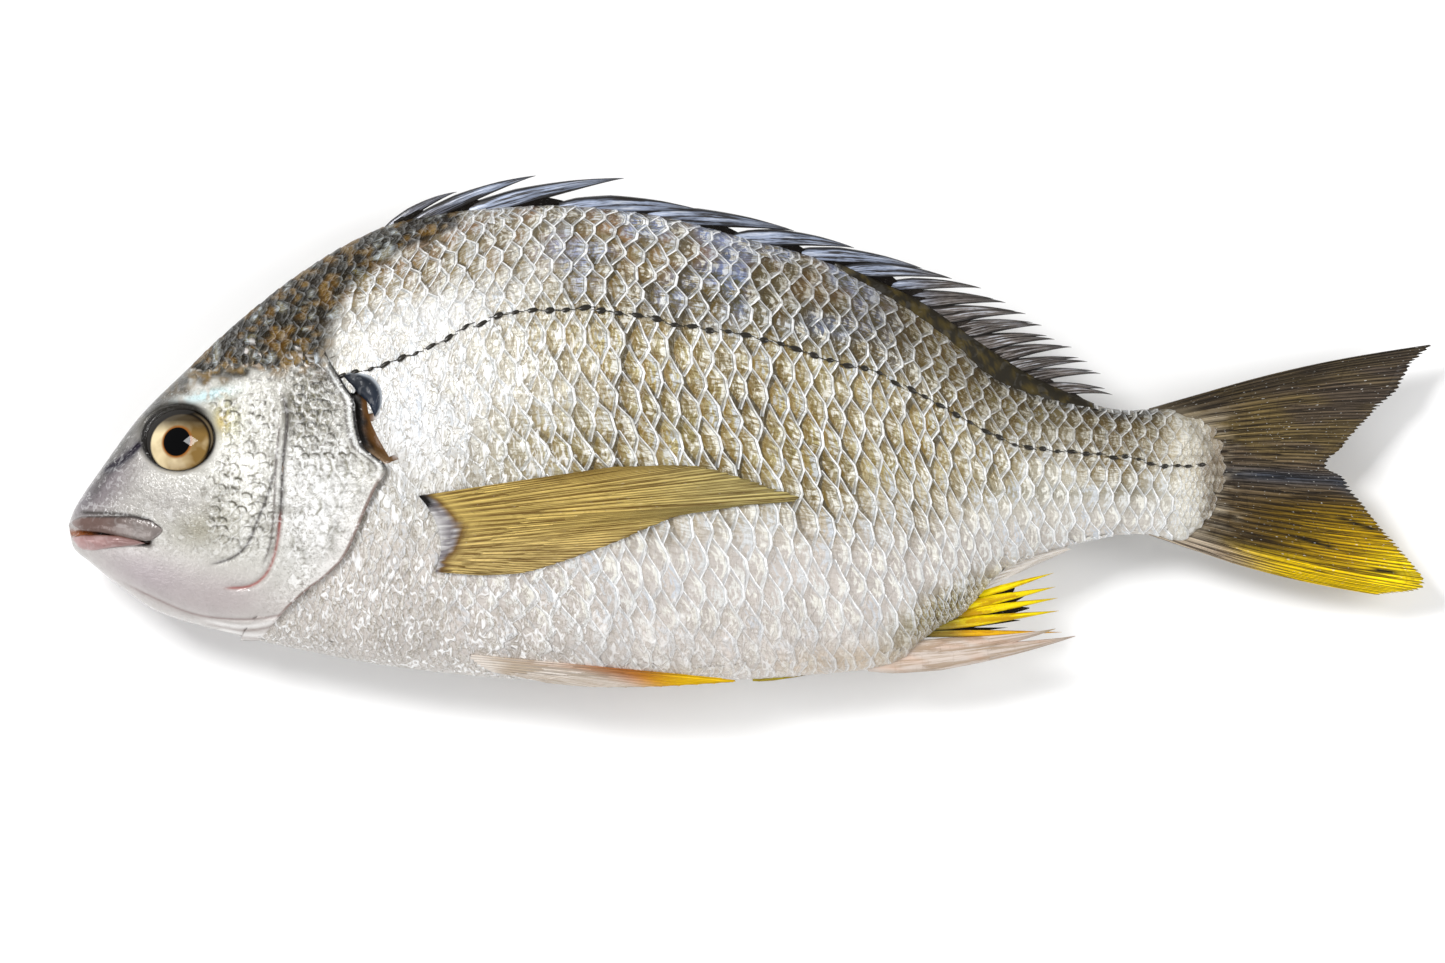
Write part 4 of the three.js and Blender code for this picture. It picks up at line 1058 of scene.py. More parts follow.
def spine_material():
    """Fin spine: a hard blade of horn with a steel-blue silver face, fine streaks and black edges."""
    material, node = new_material("steel-blue fin spine")
    web = node("SeparateXYZ", {0: node("UVMap", uv_map="web")}).outputs
    breadth = node("Attribute", attribute_name="breadth").outputs["Fac"]
    pigment = node("Attribute", attribute_name="pigment").outputs["Color"]
    width_place = node("Math", {0: breadth, 1: 2.6, 2: web[0]}, operation="MULTIPLY_ADD")
    streak_at = node("CombineXYZ", {0: width_place, 1: web[1], 2: web[0]})
    scaled = node("VectorMath", {0: streak_at, 1: (1.0, 2.2, 9.0)}, operation="MULTIPLY")
    streak = node("TexNoise", {"Vector": scaled, "Scale": 1.3, "Detail": 4.0, "Roughness": 0.7})
    darker = node("Mix", {0: 1.0, 6: pigment, 7: "#5b5148"}, data_type="RGBA", blend_type="MULTIPLY")
    shade = node("MapRange", {0: streak, 1: 0.52, 2: 0.42, 3: 0.0, 4: 1.0})
    shine = node("MapRange", {0: streak, 1: 0.55, 2: 0.66, 3: 0.0, 4: 0.8})
    side = node("Math", {0: breadth}, operation="ABSOLUTE")
    edge = node("MapRange", {0: side, 1: 0.55, 2: 0.75, 3: 0.0, 4: 0.95})
    tip = node("MapRange", {0: web[1], 1: 0.6, 2: 0.95, 3: 0.0, 4: 0.9})
    black = node("Math", {0: edge, 1: tip}, operation="MAXIMUM")
    bump = node("Bump", {"Strength": 0.6, "Distance": 0.2 * MM, "Height": streak})
    colour = pigment
    for share, over in ((shade, darker), (shine, "#dfe4ee"), (black, "#1d1916")):
        colour = node("Mix", {0: share, 6: colour, 7: over}, data_type="RGBA")
    look = {
        "Base Color": colour, "Metallic": 0.3, "Roughness": 0.33, "Normal": bump, "Coat Weight": 0.6,
        "Coat Roughness": 0.1, "Coat IOR": WATER_IOR,
    }
    node("OutputMaterial", {"Surface": node("BsdfPrincipled", look)})
    return material


def eye_material():
    """Fish eye: a clear wet cornea over a streaked gold iris with a black pupil and a black outer ring."""
    material, node = new_material("wet fish eye")
    disc = node("UVMap", uv_map="disc")
    from_pupil = node("VectorMath", {0: disc, 1: (0.035, -0.13, 0.0)}, operation="DISTANCE")
    iris_at = node("VectorMath", {0: disc, 1: (-0.05, 0.12, 0.0)}, operation="ADD")
    oval = node("VectorMath", {0: iris_at, 1: (1.0, 1.07, 0.0)}, operation="MULTIPLY")
    from_middle = node("VectorMath", {0: oval}, operation="LENGTH")
    high = node("SeparateXYZ", {0: disc}).outputs
    rays = node(
        "TexNoise", {"Vector": disc, "Scale": 1.7, "Detail": 2.0, "Roughness": 0.5, "Distortion": 0.4},
    )
    uneven = node("Math", {0: rays, 1: 0.5, 2: 0.25}, operation="MULTIPLY_ADD")
    rearward = node("Math", {0: high[0], 1: -0.24, 2: uneven}, operation="MULTIPLY_ADD")
    bright = node("MapRange", {0: rearward, 1: 0.34, 2: 0.66})
    iris = node("Mix", {0: bright, 6: "#7c6134", 7: "#e2d0a8"}, data_type="RGBA")
    top_share = node("MapRange", {0: high[1], 1: 0.10, 2: 0.5, 3: 0.0, 4: 0.9})
    ring_share = node("MapRange", {0: from_pupil, 1: 0.49, 2: 0.42})
    pupil_share = node("MapRange", {0: from_pupil, 1: 0.41, 2: 0.39})
    outer_share = node("MapRange", {0: from_middle, 1: 0.83, 2: 0.89})
    arc_share = node("MapRange", {0: high[0], 1: 0.3, 2: 0.8, 3: 0.0, 4: 0.6})
    arc = node("Math", {0: peak(node, from_middle, 0.95, 0.05), 1: arc_share}, operation="MULTIPLY")
    colour = iris
    for share, over in (
        (top_share, "#1c130a"), (ring_share, "#8a5420"), (pupil_share, "#020203"), (outer_share, "#120d08"),
        (arc, "#8c7a5c"),
    ):
        colour = node("Mix", {0: share, 6: colour, 7: over}, data_type="RGBA")
    look = {
        "Base Color": colour, "Roughness": 0.6, "Specular IOR Level": 0.0, "Coat Weight": 0.6,
        "Coat Roughness": 0.015, "Coat IOR": WATER_IOR,
    }
    node("OutputMaterial", {"Surface": node("BsdfPrincipled", look)})
    return material


def plain_material(name, code, roughness):
    """White paper for the studio floor."""
    material, node = new_material(name)
    node(
        "OutputMaterial", {"Surface": node("BsdfPrincipled", {"Base Color": code, "Roughness": roughness})},
    )
    return material


# ------------------------------------------------------------------ geometry trees
def tree_with(name, sockets):
    """A geometry tree with the named inputs, the function that adds its nodes, and its inputs' sockets."""
    tree = bpy.data.node_groups.new(name, "GeometryNodeTree")
    tree.interface.new_socket("Geometry", in_out="INPUT", socket_type="NodeSocketGeometry")
    for socket_name, kind in sockets:
        tree.interface.new_socket(socket_name, in_out="INPUT", socket_type=kind)
    tree.interface.new_socket("Geometry", in_out="OUTPUT", socket_type="NodeSocketGeometry")
    node = partial(add, tree)
    return tree, node, node("NodeGroupInput").outputs


def scale_tree():
    """Overlapping plates on a staggered grid, wrapped onto a guide skin through its "field" map."""
    tree, node, given = tree_with(
        "Overlapping scales",
        [
            ("Plates", "NodeSocketCollection"), ("Zone", "NodeSocketString"), ("Columns", "NodeSocketInt"),
            ("Rows", "NodeSocketInt"), ("Size", "NodeSocketFloat"), ("Lift", "NodeSocketFloat"),
            ("Looseness", "NodeSocketFloat"), ("Seed", "NodeSocketInt"), ("Material", "NodeSocketMaterial"),
        ],
    )
    wide = node("Math", {0: given["Columns"], 1: 1.0}, operation="SUBTRACT")
    tall = node("Math", {0: given["Rows"], 1: 1.0}, operation="SUBTRACT")
    grid = node("GeometryNodeMeshGrid", {0: wide, 1: tall, 2: given["Columns"], 3: given["Rows"]})
    cell = node("SeparateXYZ", {0: node("GeometryNodeInputPosition")}).outputs
    row = node("Math", {0: cell[1]}, operation="ROUND")
    odd = node("Math", {0: row, 1: 2.0}, operation="FLOORED_MODULO")
    column = node("Math", {0: odd, 1: 0.5, 2: cell[0]}, operation="MULTIPLY_ADD")
    backwards = node("Math", {0: column, 1: -1.0}, operation="MULTIPLY")
    staggered = node("CombineXYZ", {0: backwards, 1: cell[1]})
    negative = node("Math", {0: given["Looseness"], 1: -1.0}, operation="MULTIPLY")
    jitter = node(
        "FunctionNodeRandomValue", {"Min": negative, "Max": given["Looseness"], "Seed": given["Seed"]},
        data_type="FLOAT_VECTOR",
    )
    loose = node("VectorMath", {0: staggered, 1: jitter}, operation="ADD")
    flatten = node("VectorMath", {0: loose, 1: (1.0, 1.0, 0.0)}, operation="MULTIPLY")
    sized = node("VectorMath", {0: flatten, "Scale": given["Size"]}, operation="SCALE")
    placed = node("GeometryNodeSetPosition", {"Geometry": grid, "Position": sized})

    field = node("GeometryNodeInputNamedAttribute", {"Name": "field"}, data_type="FLOAT_VECTOR")
    at = node("GeometryNodeInputPosition")
    scaled = node("VectorMath", {0: at, "Scale": 1 / FIELD_SPAN}, operation="SCALE")
    map_place = node("VectorMath", {0: scaled, 1: (0.5, 0.5, 0.0)}, operation="ADD")
    on_skin = {"Mesh": given["Geometry"], "Source UV Map": field, "Sample UV": map_place}
    zone = node("GeometryNodeInputNamedAttribute", {"Name": given["Zone"]}, data_type="FLOAT")
    in_zone = node("GeometryNodeSampleUVSurface", {**on_skin, "Value": zone}, data_type="FLOAT")
    outside = node("FunctionNodeCompare", {"A": in_zone, "B": 0.5}, operation="LESS_THAN")
    kept = node("GeometryNodeDeleteGeometry", {"Geometry": placed, "Selection": outside})

    plates = node("GeometryNodeCollectionInfo", {0: given["Plates"], "Separate Children": True})
    swing = node(
        "FunctionNodeRandomValue", {"Min": negative, "Max": given["Looseness"], "Seed": 7},
        data_type="FLOAT_VECTOR",
    )
    flat_swing = node("VectorMath", {0: swing, 1: (0.0, 0.0, 1.0)}, operation="MULTIPLY")
    growth = node("FunctionNodeRandomValue", {2: 0.94, 3: 1.12, "Seed": 9}, data_type="FLOAT")
    grown_size = node("Math", {0: growth, 1: given["Size"]}, operation="MULTIPLY")
    stamped = node(
        "GeometryNodeInstanceOnPoints",
        {
            "Points": kept, "Instance": plates, "Pick Instance": True, "Rotation": flat_swing,
            "Scale": grown_size,
        },
    )
    chance = node("FunctionNodeRandomValue", {2: 0.0, 3: 1.0, "Seed": given["Seed"]}, data_type="FLOAT")
    told = node(
        "GeometryNodeStoreNamedAttribute", {"Geometry": stamped, "Name": "chance", "Value": chance},
        data_type="FLOAT", domain="INSTANCE",
    )
    real = node("GeometryNodeRealizeInstances", {"Geometry": told})

    skin_at = node("GeometryNodeSampleUVSurface", {**on_skin, "Value": at}, data_type="FLOAT_VECTOR")
    outward = node("GeometryNodeInputNamedAttribute", {"Name": "outward"}, data_type="FLOAT_VECTOR")
    facing = node("GeometryNodeSampleUVSurface", {**on_skin, "Value": outward}, data_type="FLOAT_VECTOR")
    lost = node("FunctionNodeBooleanMath", {0: skin_at.outputs[1]}, operation="NOT")
    whole = node("GeometryNodeDeleteGeometry", {"Geometry": real, "Selection": lost})
    height = node("SeparateXYZ", {0: at}).outputs[2]
    lifted = node("Math", {0: height, 1: given["Lift"]}, operation="MULTIPLY")
    out = node("VectorMath", {0: facing, "Scale": lifted}, operation="SCALE")
    wrapped = node("VectorMath", {0: skin_at, 1: out}, operation="ADD")
    laid = node("GeometryNodeSetPosition", {"Geometry": whole, "Position": wrapped})
    coloured = node("GeometryNodeSetMaterial", {"Geometry": laid, "Material": given["Material"]})
    node("NodeGroupOutput", {0: coloured})
    return tree


def ray_tree():
    """Tapering fin rays: flattened tubes along the guide's lines, as thick as its "thick" values."""
    tree, node, given = tree_with(
        "Fin rays",
        [("Flatness", "NodeSocketFloat"), ("Sides", "NodeSocketInt"), ("Material", "NodeSocketMaterial")],
    )
    lines = node("GeometryNodeMeshToCurve", {"Mesh": given["Geometry"]})
    upright = node("GeometryNodeSetCurveNormal", {"Curve": lines}, mode="Z_UP")
    thick = node("GeometryNodeInputNamedAttribute", {"Name": "thick"}, data_type="FLOAT")
    circle = node("GeometryNodeCurvePrimitiveCircle", {"Resolution": given["Sides"], "Radius": 1.0})
    sideways = node("SeparateXYZ", {0: node("GeometryNodeInputPosition")})
    marked = node(
        "GeometryNodeStoreNamedAttribute", {"Geometry": circle, "Name": "breadth", "Value": sideways},
        data_type="FLOAT", domain="POINT",
    )
    squeeze = node("CombineXYZ", {0: 1.0, 1: given["Flatness"], 2: 1.0})
    section = node("GeometryNodeTransform", {"Geometry": marked, "Scale": squeeze})
    tubes = node(
        "GeometryNodeCurveToMesh",
        {"Curve": upright, "Profile Curve": section, "Scale": thick, "Fill Caps": True},
    )
    real = node("GeometryNodeRealizeInstances", {"Geometry": tubes})
    coloured = node("GeometryNodeSetMaterial", {"Geometry": real, "Material": given["Material"]})
    node("NodeGroupOutput", {0: coloured})
    return tree


def grown(guide, tree, inputs):
    """The plain mesh that a tree grows on a guide mesh, with the tree's inputs given by name."""
    carrier = new_object("guide", guide)
    modifier = carrier.modifiers.new("growth", "NODES")
    modifier.node_group = tree
    for item in tree.interface.items_tree:
        if item.in_out == "INPUT" and item.name in inputs:
            modifier[item.identifier] = inputs[item.name]
    depsgraph = bpy.context.evaluated_depsgraph_get()
    mesh = bpy.data.meshes.new_from_object(carrier.evaluated_get(depsgraph), depsgraph=depsgraph)
    carrier.modifiers.remove(modifier)
    bpy.data.objects.remove(carrier)
    return mesh


def points_of(mesh):
    points = np.zeros(len(mesh.vertices) * 3)
    mesh.vertices.foreach_get("co", points)
    return points.reshape(-1, 3)


def values_of(mesh, name):
    values = np.zeros(len(mesh.vertices))
    mesh.attributes[name].data.foreach_get("value", values)
    return values


# ------------------------------------------------------------------ scale plates and their guides
PLATE_REACH = 1.45  # plate length in columns, most of it under the plates ahead
PLATE_HALF_HEIGHT = 0.82  # in rows
PLATE_CORNER = 0.26  # where the rim starts to slant, in half heights
RIM_LIFT = 0.22  # millimetres of a full-size plate's rim above the skin
RIM_WALL = 0.16
GUIDE_COLUMNS, GUIDE_ROWS = 90, 49  # full-size scales along and around a guide


def rim_behind(x, across, rim):
    """How far a place of a plate lies behind the rims of the plates over it, in columns."""
    neighbour = np.abs(across) - 1 / PLATE_HALF_HEIGHT
    beside = np.where(np.abs(neighbour) < 1, x + slant_of(neighbour, PLATE_CORNER), 1)
    return np.minimum(x - rim + 1, beside)


def plate_mesh(name, corner, lean, wave):
    """One scale in columns, rows and millimetres: a sheet that rises to a rim with a turned-down edge."""
    across = np.array([-1, -0.82, -0.64, -0.48, -corner, 0, corner, 0.48, 0.64, 0.82, 1])
    slant = np.clip((np.abs(across) - corner) / (1 - corner), 0, 1)
    rim = 0.5 - slant_of(across, corner) + lean * across * (1 - slant) + wave * np.sin(5 * across)
    share = np.array([0, 0.3, 0.6, 0.9, 1.0])
    front = 0.5 - PLATE_REACH
    x = front + share[:, None] * (rim[None, :] - front)
    y = np.broadcast_to(across * PLATE_HALF_HEIGHT, x.shape)
    crown = -0.07 * across[None, :] ** 2
    z = RIM_LIFT * (x - front) / PLATE_REACH + crown * share[:, None]
    z[-1] += 0.03
    z[-2] += 0.04
    wall = np.stack([x[-1] + 0.02, y[-1], z[-1] - RIM_WALL], axis=-1)[None]
    points = np.vstack([np.stack([x, y, z], axis=-1), wall])
    from_rim = np.vstack([rim[None, :] - x, np.full((1, len(across)), 0.13)])
    mesh = grid_mesh(name, points, flipped=True)
    give_map(mesh, "plate", np.stack([from_rim, np.broadcast_to(across, from_rim.shape)], axis=-1))
    give_values(mesh, "covered", rim_behind(points[..., 0], across, rim))
    return mesh


def pore_mesh(name, length, breadth):
    """One pore scale of the lateral line: a small dark bead with a thin neck to the next one."""
    along = np.array([-0.52, -0.29, -0.18, 0, 0.18, 0.29, 0.52]) * [1, length, length, 1, length, length, 1]
    width = np.array([0.016, 0.022, 0.85 * breadth, breadth, 0.8 * breadth, 0.02, 0.016])
    turn = np.linspace(0, np.pi, 5)
    x = np.broadcast_to(along[:, None], (len(along), len(turn)))
    y = width[:, None] * np.cos(turn)[None, :] + 0.02 * np.sin(9 * along)[:, None]
    z = 0.5 + 2.6 * width[:, None] * np.sin(turn)[None, :]
    return grid_mesh(name, np.stack([x, y, z], axis=-1))


def template(name, meshes):
    """The shapes that a tree may pick from."""
    collection = bpy.data.collections.new(name)
    bpy.context.scene.collection.children.link(collection)
    for mesh in meshes:
        collection.objects.link(bpy.data.objects.new(mesh.name, mesh))
    return collection


def outward_of(points, side):
    """Unit directions out of a grid of skin points."""
    along = np.gradient(points, axis=0)
    around = np.gradient(points, axis=1)
    out = np.cross(along, around)
    out /= np.maximum(np.linalg.norm(out, axis=-1, keepdims=True), 1e-9)
    rows, columns = points.shape[:2]
    return out if out[rows // 2, columns // 2, 2] * side > 0 else -out


def guide_mesh(points, side, field, zones):
    """A skin grid that carries the scale map, the outward directions and the zones."""
    mesh = grid_mesh("guide", points)
    give_map(mesh, "field", field / FIELD_SPAN + 0.5)
    give_values(mesh, "outward", outward_of(points, side), "FLOAT_VECTOR", "vector")
    for name, zone in zones.items():
        give_values(mesh, name, zone)
    return mesh


def body_guide(side):
    """The scaled skin with columns counted along it and rows counted from the lateral line."""
    d, angle = np.meshgrid(np.arange(24, 269.3, 1.0), np.linspace(-0.4, np.pi + 0.4, 180), indexing="ij")
    y = ring_height(d, angle)
    z = middle_plane(d) + side * np.sign(np.sin(angle)) * body_skin(d, y)
    points = np.stack([d, y, z], axis=-1)
    step = np.linalg.norm(np.diff(points, axis=1), axis=-1)
    length = np.concatenate([np.zeros((len(d), 1)), np.cumsum(step, axis=1)], axis=1)
    upper = (angle[0] > 0) & (angle[0] < np.pi)
    at_line = np.array(
        [np.interp(-lateral_line(at[0]), -h[upper], s[upper]) for at, h, s in zip(d, y, length)]
    )
    above = at_line[:, None] - length
    breast = fade(-8, -46, above) * fade(150, 60, d)
    row_height = through(SCALE_ROWS)(d) * (1 - 0.24 * fade(-2, 6, above) + 0.06 * fade(-10, -50, above))
    row_height *= 1 - 0.42 * breast
    middle_height = (row_height[:, 1:] + row_height[:, :-1]) / 2
    rows = np.concatenate([np.zeros((len(d), 1)), np.cumsum(step / middle_height, axis=1)], axis=1)
    rows = np.array([np.interp(a, l, r) for a, l, r in zip(at_line, length, rows)])[:, None] - rows
    columns = np.cumsum(1 / (through(SCALE_LENGTHS)(d) * (1 - 0.36 * breast)), axis=0)
    columns -= columns[126]  # counted from 150 mm behind the snout
    slant = 0.30 * fade(2, -6, rows) * fade(80, 130, d) * fade(250, 190, d)
    field = np.stack([columns + slant * rows, rows], axis=-1)
    rough = mottle(d, y, 4, 61) - 0.5
    nape = (y > nape_line(d) - 1) & (d > 30) & (d + 6 * rough < nape_rear(y))
    slit = fade(-11, -5, y) * fade(13, 10, y)
    behind = d > gill_edge(y) + 0.8 + (7.6 + 2.4 * rough) * slit
    breast_edge = (y + 8 * rough < breast_line(d)) & behind & ~nape
    patch = dab(d, y, PATCH_CENTRE, (12, 4.6), PATCH_TURN) > 0.33
    flank = behind & ~breast_edge & ~patch & ~nape & (d < 260 + 6 * rough)
    zones = {
        "nape": nape, "breast": breast_edge & ~patch, "patch": patch, "flank": flank,
        "line": (d > 62) & (d < 266),
    }
    return guide_mesh(points, side, field, zones)


def tail_root_guide(side):
    """The tail root with the first part of the web, where the smallest scales run out."""
    d, y = np.meshgrid(np.arange(252, 278, 0.5), np.arange(-28, 9, 0.5), indexing="ij")
    points = np.stack([d, y, middle_plane(d) + side * np.maximum(trunk_skin(d, y), 0.7)], axis=-1)
    field = np.stack([(d - 265) / 3.0, (y + 8) / 3.6], axis=-1)
    rough = mottle(d, y, 4, 61) - 0.5
    ragged = d + 5 * (mottle(d * 0.5, y, 1.4, 63) - 0.5) + 0.04 * (y + 9) ** 2
    stations = [252, 264, 278]
    inside = (y < np.interp(d, stations, [4.8, 2, 7])) & (y > np.interp(d, stations, [-24, -22, -27]))
    zone = inside & (d > 258 + 6 * rough) & (ragged < 271)
    return guide_mesh(points, side, field, {"root": zone})


def lay_scales(
    name, guide, tree, shapes, zone, size, lift, seed, material, rows=GUIDE_ROWS, looseness=0.09,
):
    """Scales of one zone as a finished piece, coloured by their place on the fish."""
    inputs = {
        "Plates": shapes, "Zone": zone, "Columns": int(GUIDE_COLUMNS / size) // 2 * 2 + 1,
        "Rows": int(rows / size) // 2 * 2 + 1, "Size": size, "Lift": lift, "Looseness": looseness,
        "Seed": seed, "Material": material,
    }
    mesh = grown(guide, tree, inputs)
    points = points_of(mesh)
    d, y = points[:, 0], points[:, 1]
    if zone == "line":
        return finish_piece(mesh, name, points, one_colour(d, "#1d180e"))
    values = {"spots": flank_spots(d, y), "rims": rim_strength(d, y), "curls": curl_strength(d, y)}
    return finish_piece(mesh, name, points, flank_paint(d, y), values=values)


# ------------------------------------------------------------------ body, head, eyes and lips
def build_trunk_skin(material):
    """The skin under the scales, from beneath the gill cover to the tail root."""
    front, rear = np.arange(38, 92, 0.7), np.arange(92, 262, 1.6)
    stations = np.concatenate([front, rear, np.linspace(262, TRUNK_END, 12)])
    d, angle = np.meshgrid(stations, np.linspace(0, 2 * np.pi, 200, endpoint=False), indexing="ij")
    y = ring_height(d, angle)
    behind = d - gill_edge(y)
    slit = fade(-10, -5, y) * fade(15, 10, y) * fade(5.0, 1.5, behind) * fade(-3, 0, behind)
    height = np.maximum(trunk_skin(d, y) - 0.12 - 1.3 * slit, 0)
    z = middle_plane(d) + np.where(angle < np.pi, 1, -1) * height
    rings = np.stack([d, y, z], axis=-1)
    open_slit = fade(-12, -7, y) * fade(19, 14, y)
    ragged = behind + 3.4 * (mottle(d, y, 1.7, 22) - 0.5)
    paint = laid_over(
        flank_paint(d, y) * 0.85,
        (1.2 * open_slit * fade(6.6, 4.6, ragged), STAIN),
        # painted shade: black in the open gill slit just behind the cover's edge
        (open_slit * fade(3.8, 1.2, ragged), "#120b06"),
        (0.5 * fade(-14, -9, y) * fade(-3, -6, y) * fade(5, 1, ragged), "#a07c50"),
    )
    values = {"curls": 0.8 * (1 - open_slit)}
    return finish_piece(loft(rings), "trunk_skin", rings, paint, material, values=values)


def build_head_side(name, side, material):
    """One side of the head up to the gill cover's edge, which ends in a free, turned-in lip."""
    around, along = 310, 228
    angles = np.linspace(0, np.pi, around)
    reach = np.full(around, 60.0)
    for _ in range(80):
        reach = 0.7 * reach + 0.3 * gill_edge(ring_height(reach, angles))
    share = np.linspace(0, 1, along) ** 1.15
    d = share[:, None] * reach
    y = ring_height(d, angles[None, :])
    free = fade(-50, -44, y[-1]) * fade(18, 12, y[-1])
    height = head_skin(d, y) + head_relief(d, y)
    sunk = (1 - free) * fade(5, 0, reach - d) * 0.5
    height = np.maximum(height - sunk * np.minimum(1, height), 0)
    lip_d = np.array([d[-1] + 0.3 * free, d[-1] + 0.35 * free, d[-1] - 0.2, d[-1] - 3, d[-1] - 5])
    lip_y = np.where(free > 0, y[-1], ring_height(lip_d, angles[None, :]))
    lip_drop = np.array([0.2, 0.6, 0.95, 1.05, 1.2])[:, None]
    lip_height = np.maximum(height[-1] - lip_drop * (0.35 + 0.65 * free), 0)
    pole = np.full((1, around), -0.2)
    d_all = np.vstack([pole, d, lip_d])
    y_all = np.vstack([pole * 0 - 22.1, y, lip_y])
    height_all = np.vstack([pole * 0, height, lip_height])
    points = np.stack([d_all, y_all, middle_plane(d_all) + side * height_all], axis=-1)
    mesh = grid_mesh("head", points, flipped=side > 0)
    values = {"curls": head_folds(d_all, y_all), "scaly": head_scaliness(d_all, y_all)}
    return finish_piece(mesh, name, points, head_paint(d_all, y_all), material, values=values)


def build_eye(name, side, material):
    """An eyeball's dome, square to the head's skin, closed below."""
    centre = np.array(EYE_CENTRE, float)
    slope = [(head_skin(*(centre + step)) - head_skin(*(centre - step))) / 2 for step in np.eye(2)]
    facing = Vector((-slope[0], -slope[1], 1)).normalized()
    right = Vector((1, 0, slope[0])).normalized()
    up = facing.cross(right)
    rings, turns = 40, 72
    away = np.concatenate([np.linspace(0.001, 1, rings), [1.0, 0.001]]) * EYE_RADIUS
    drop = np.concatenate([EYE_BULGE * (1 - np.linspace(0, 1, rings) ** 2) - 0.9, [-2.6, -2.6]])
    turn = np.linspace(0, 2 * np.pi, turns, endpoint=False)
    right_by = away[:, None] * np.cos(turn)
    up_by = EYE_SQUASH * away[:, None] * np.sin(turn)
    local = np.stack([right_by, up_by, np.broadcast_to(drop[:, None], right_by.shape)], axis=-1)
    points = local @ np.array([right, up, facing])
    points += [centre[0], centre[1], head_skin(*centre)]
    disc = local[..., :2] / EYE_RADIUS
    places = points.copy()
    places[..., 2] = middle_plane(points[..., 0]) + side * points[..., 2]
    paint = np.ones((*places.shape[:2], 3))
    return finish_piece(loft(places), name, places, paint, material, maps={"disc": disc})


def build_roll(name, line, widths, height, side, colours, material, base=head_skin, sunk=0.8):
    """A soft roll along a line on the skin; its widths run to its rear end, its colours are those of its
    upper edge, front and rear."""
    steps, count = 80, 30
    path = drawn_through(line, steps)
    way = np.gradient(path, axis=0)
    way /= np.linalg.norm(way, axis=1, keepdims=True)
    t = np.linspace(0, 1, steps)
    full = np.sqrt(np.clip(np.minimum(t * 9, (1 - t) * 9), 0.01, 1))
    half = np.interp(t, np.linspace(0, 1, len(widths)), widths) / 2 * full
    turn = np.linspace(0, 2 * np.pi, count, endpoint=False)
    out = np.where(np.sin(turn) > 0, np.sin(turn) * height, np.sin(turn) * sunk)
    d = path[:, 0, None] - way[:, 1, None] * half[:, None] * np.cos(turn)
    y = path[:, 1, None] + way[:, 0, None] * half[:, None] * np.cos(turn)
    uneven = 1 + 0.4 * (mottle(d, y, 2.1, 33) - 0.5)
    z = middle_plane(d) + side * (np.maximum(base(d, y), 0) + out * full[:, None] * uneven)
    rings = np.stack([d, y, z], axis=-1)
    edge, front, rear = colours
    to_rear, to_edge = fade(0.3, 0.8, t)[:, None], 0.9 * fade(0.6, 0.98, np.cos(turn))
    paint = laid_over(one_colour(d, front), (to_rear, rear), (to_edge, edge))
    paint = paint * (0.88 + 0.24 * mottle(d, y, 1.6, 3))[..., None]
    values = {"curls": np.full(d.shape, 0.12)}
    return finish_piece(loft(rings), name, rings, paint, material, values=values)


# ------------------------------------------------------------------ fins
def fin_places(roots, tips, bow=0.0):
    """A function from (share across, share along) to a place on the fin; bow curves the outer rays."""
    root_line, tip_line = drawn_through(roots, 160), drawn_through(tips, 160)

    def on_line(line, share):
        shares = np.linspace(0, 1, len(line))
        return np.stack([np.interp(share, shares, line[:, k]) for k in (0, 1)], axis=-1)

    def place(across, along):
        root, tip = on_line(root_line, across), on_line(tip_line, across)
        at = root + (tip - root) * np.asarray(along)[..., None]
        at[..., 1] += bow * (1 - 2 * across) * np.sin(np.pi * np.clip(along, 0, 1))
        return at

    return place


def build_web(name, place, height, thickness, paint, material, teeth=(60, 0.02), counts=(160, 36), seed=1):
    """The fin's web: a thin closed sheet whose outer edge has a small tooth at the end of each ray."""
    shares = np.linspace(0, 1, counts[0]), np.linspace(0, 1, counts[1]) ** 1.5
    across, along = np.meshgrid(*shares, indexing="ij")
    random = np.random.default_rng(seed)
    count, depth = teeth
    number = across[:, 0] * count
    depths = depth * (0.4 + 1.2 * random.random(count + 1))
    ragged = depths[number.astype(int)] * np.abs(2 * (number % 1) - 1)
    torn = np.interp(across[:, 0], np.linspace(0, 1, count // 3), random.random(count // 3) ** 3)
    reach = along * (1 - ragged - torn * depth * 1.2)[:, None]
    at = place(across, reach)
    d, y = at[..., 0], at[..., 1]
    rings = thin_sheet(d, y, height(d, y), thickness / 2 * (1 - 0.6 * along))
    web = np.stack([across, reach], axis=-1)
    maps = {"web": there_and_back(web, web)}
    colours = paint(rings[..., 0], rings[..., 1])
    return finish_piece(loft(rings), name, rings, colours, material, maps=maps)


def grow_rays(name, lines, grain, tree, flatness, sides, paint, material):
    """Rays as a finished piece, each from its places, its half widths and its shares across and along;
    grain is how much of the fin's map one ray takes up across."""
    steps = len(lines[0][0])
    points, thick, shares = [np.concatenate(parts) for parts in zip(*lines)]
    edges = [(k, k + 1) for k in range(len(points) - 1) if (k + 1) % steps]
    guide = bpy.data.meshes.new("rays")
    guide.from_pydata(points.tolist(), edges, [])
    for key, values in (("thick", thick), ("across", shares[:, 0]), ("along", shares[:, 1])):
        give_values(guide, key, values)
    mesh = grown(guide, tree, {"Flatness": flatness, "Sides": sides, "Material": material})
    across, along, breadth = [values_of(mesh, key) for key in ("across", "along", "breadth")]
    points = points_of(mesh)
    maps = {"web": np.column_stack([across + grain * breadth, along])}
    return finish_piece(mesh, name, points, paint(points[:, 0], points[:, 1]), maps=maps)


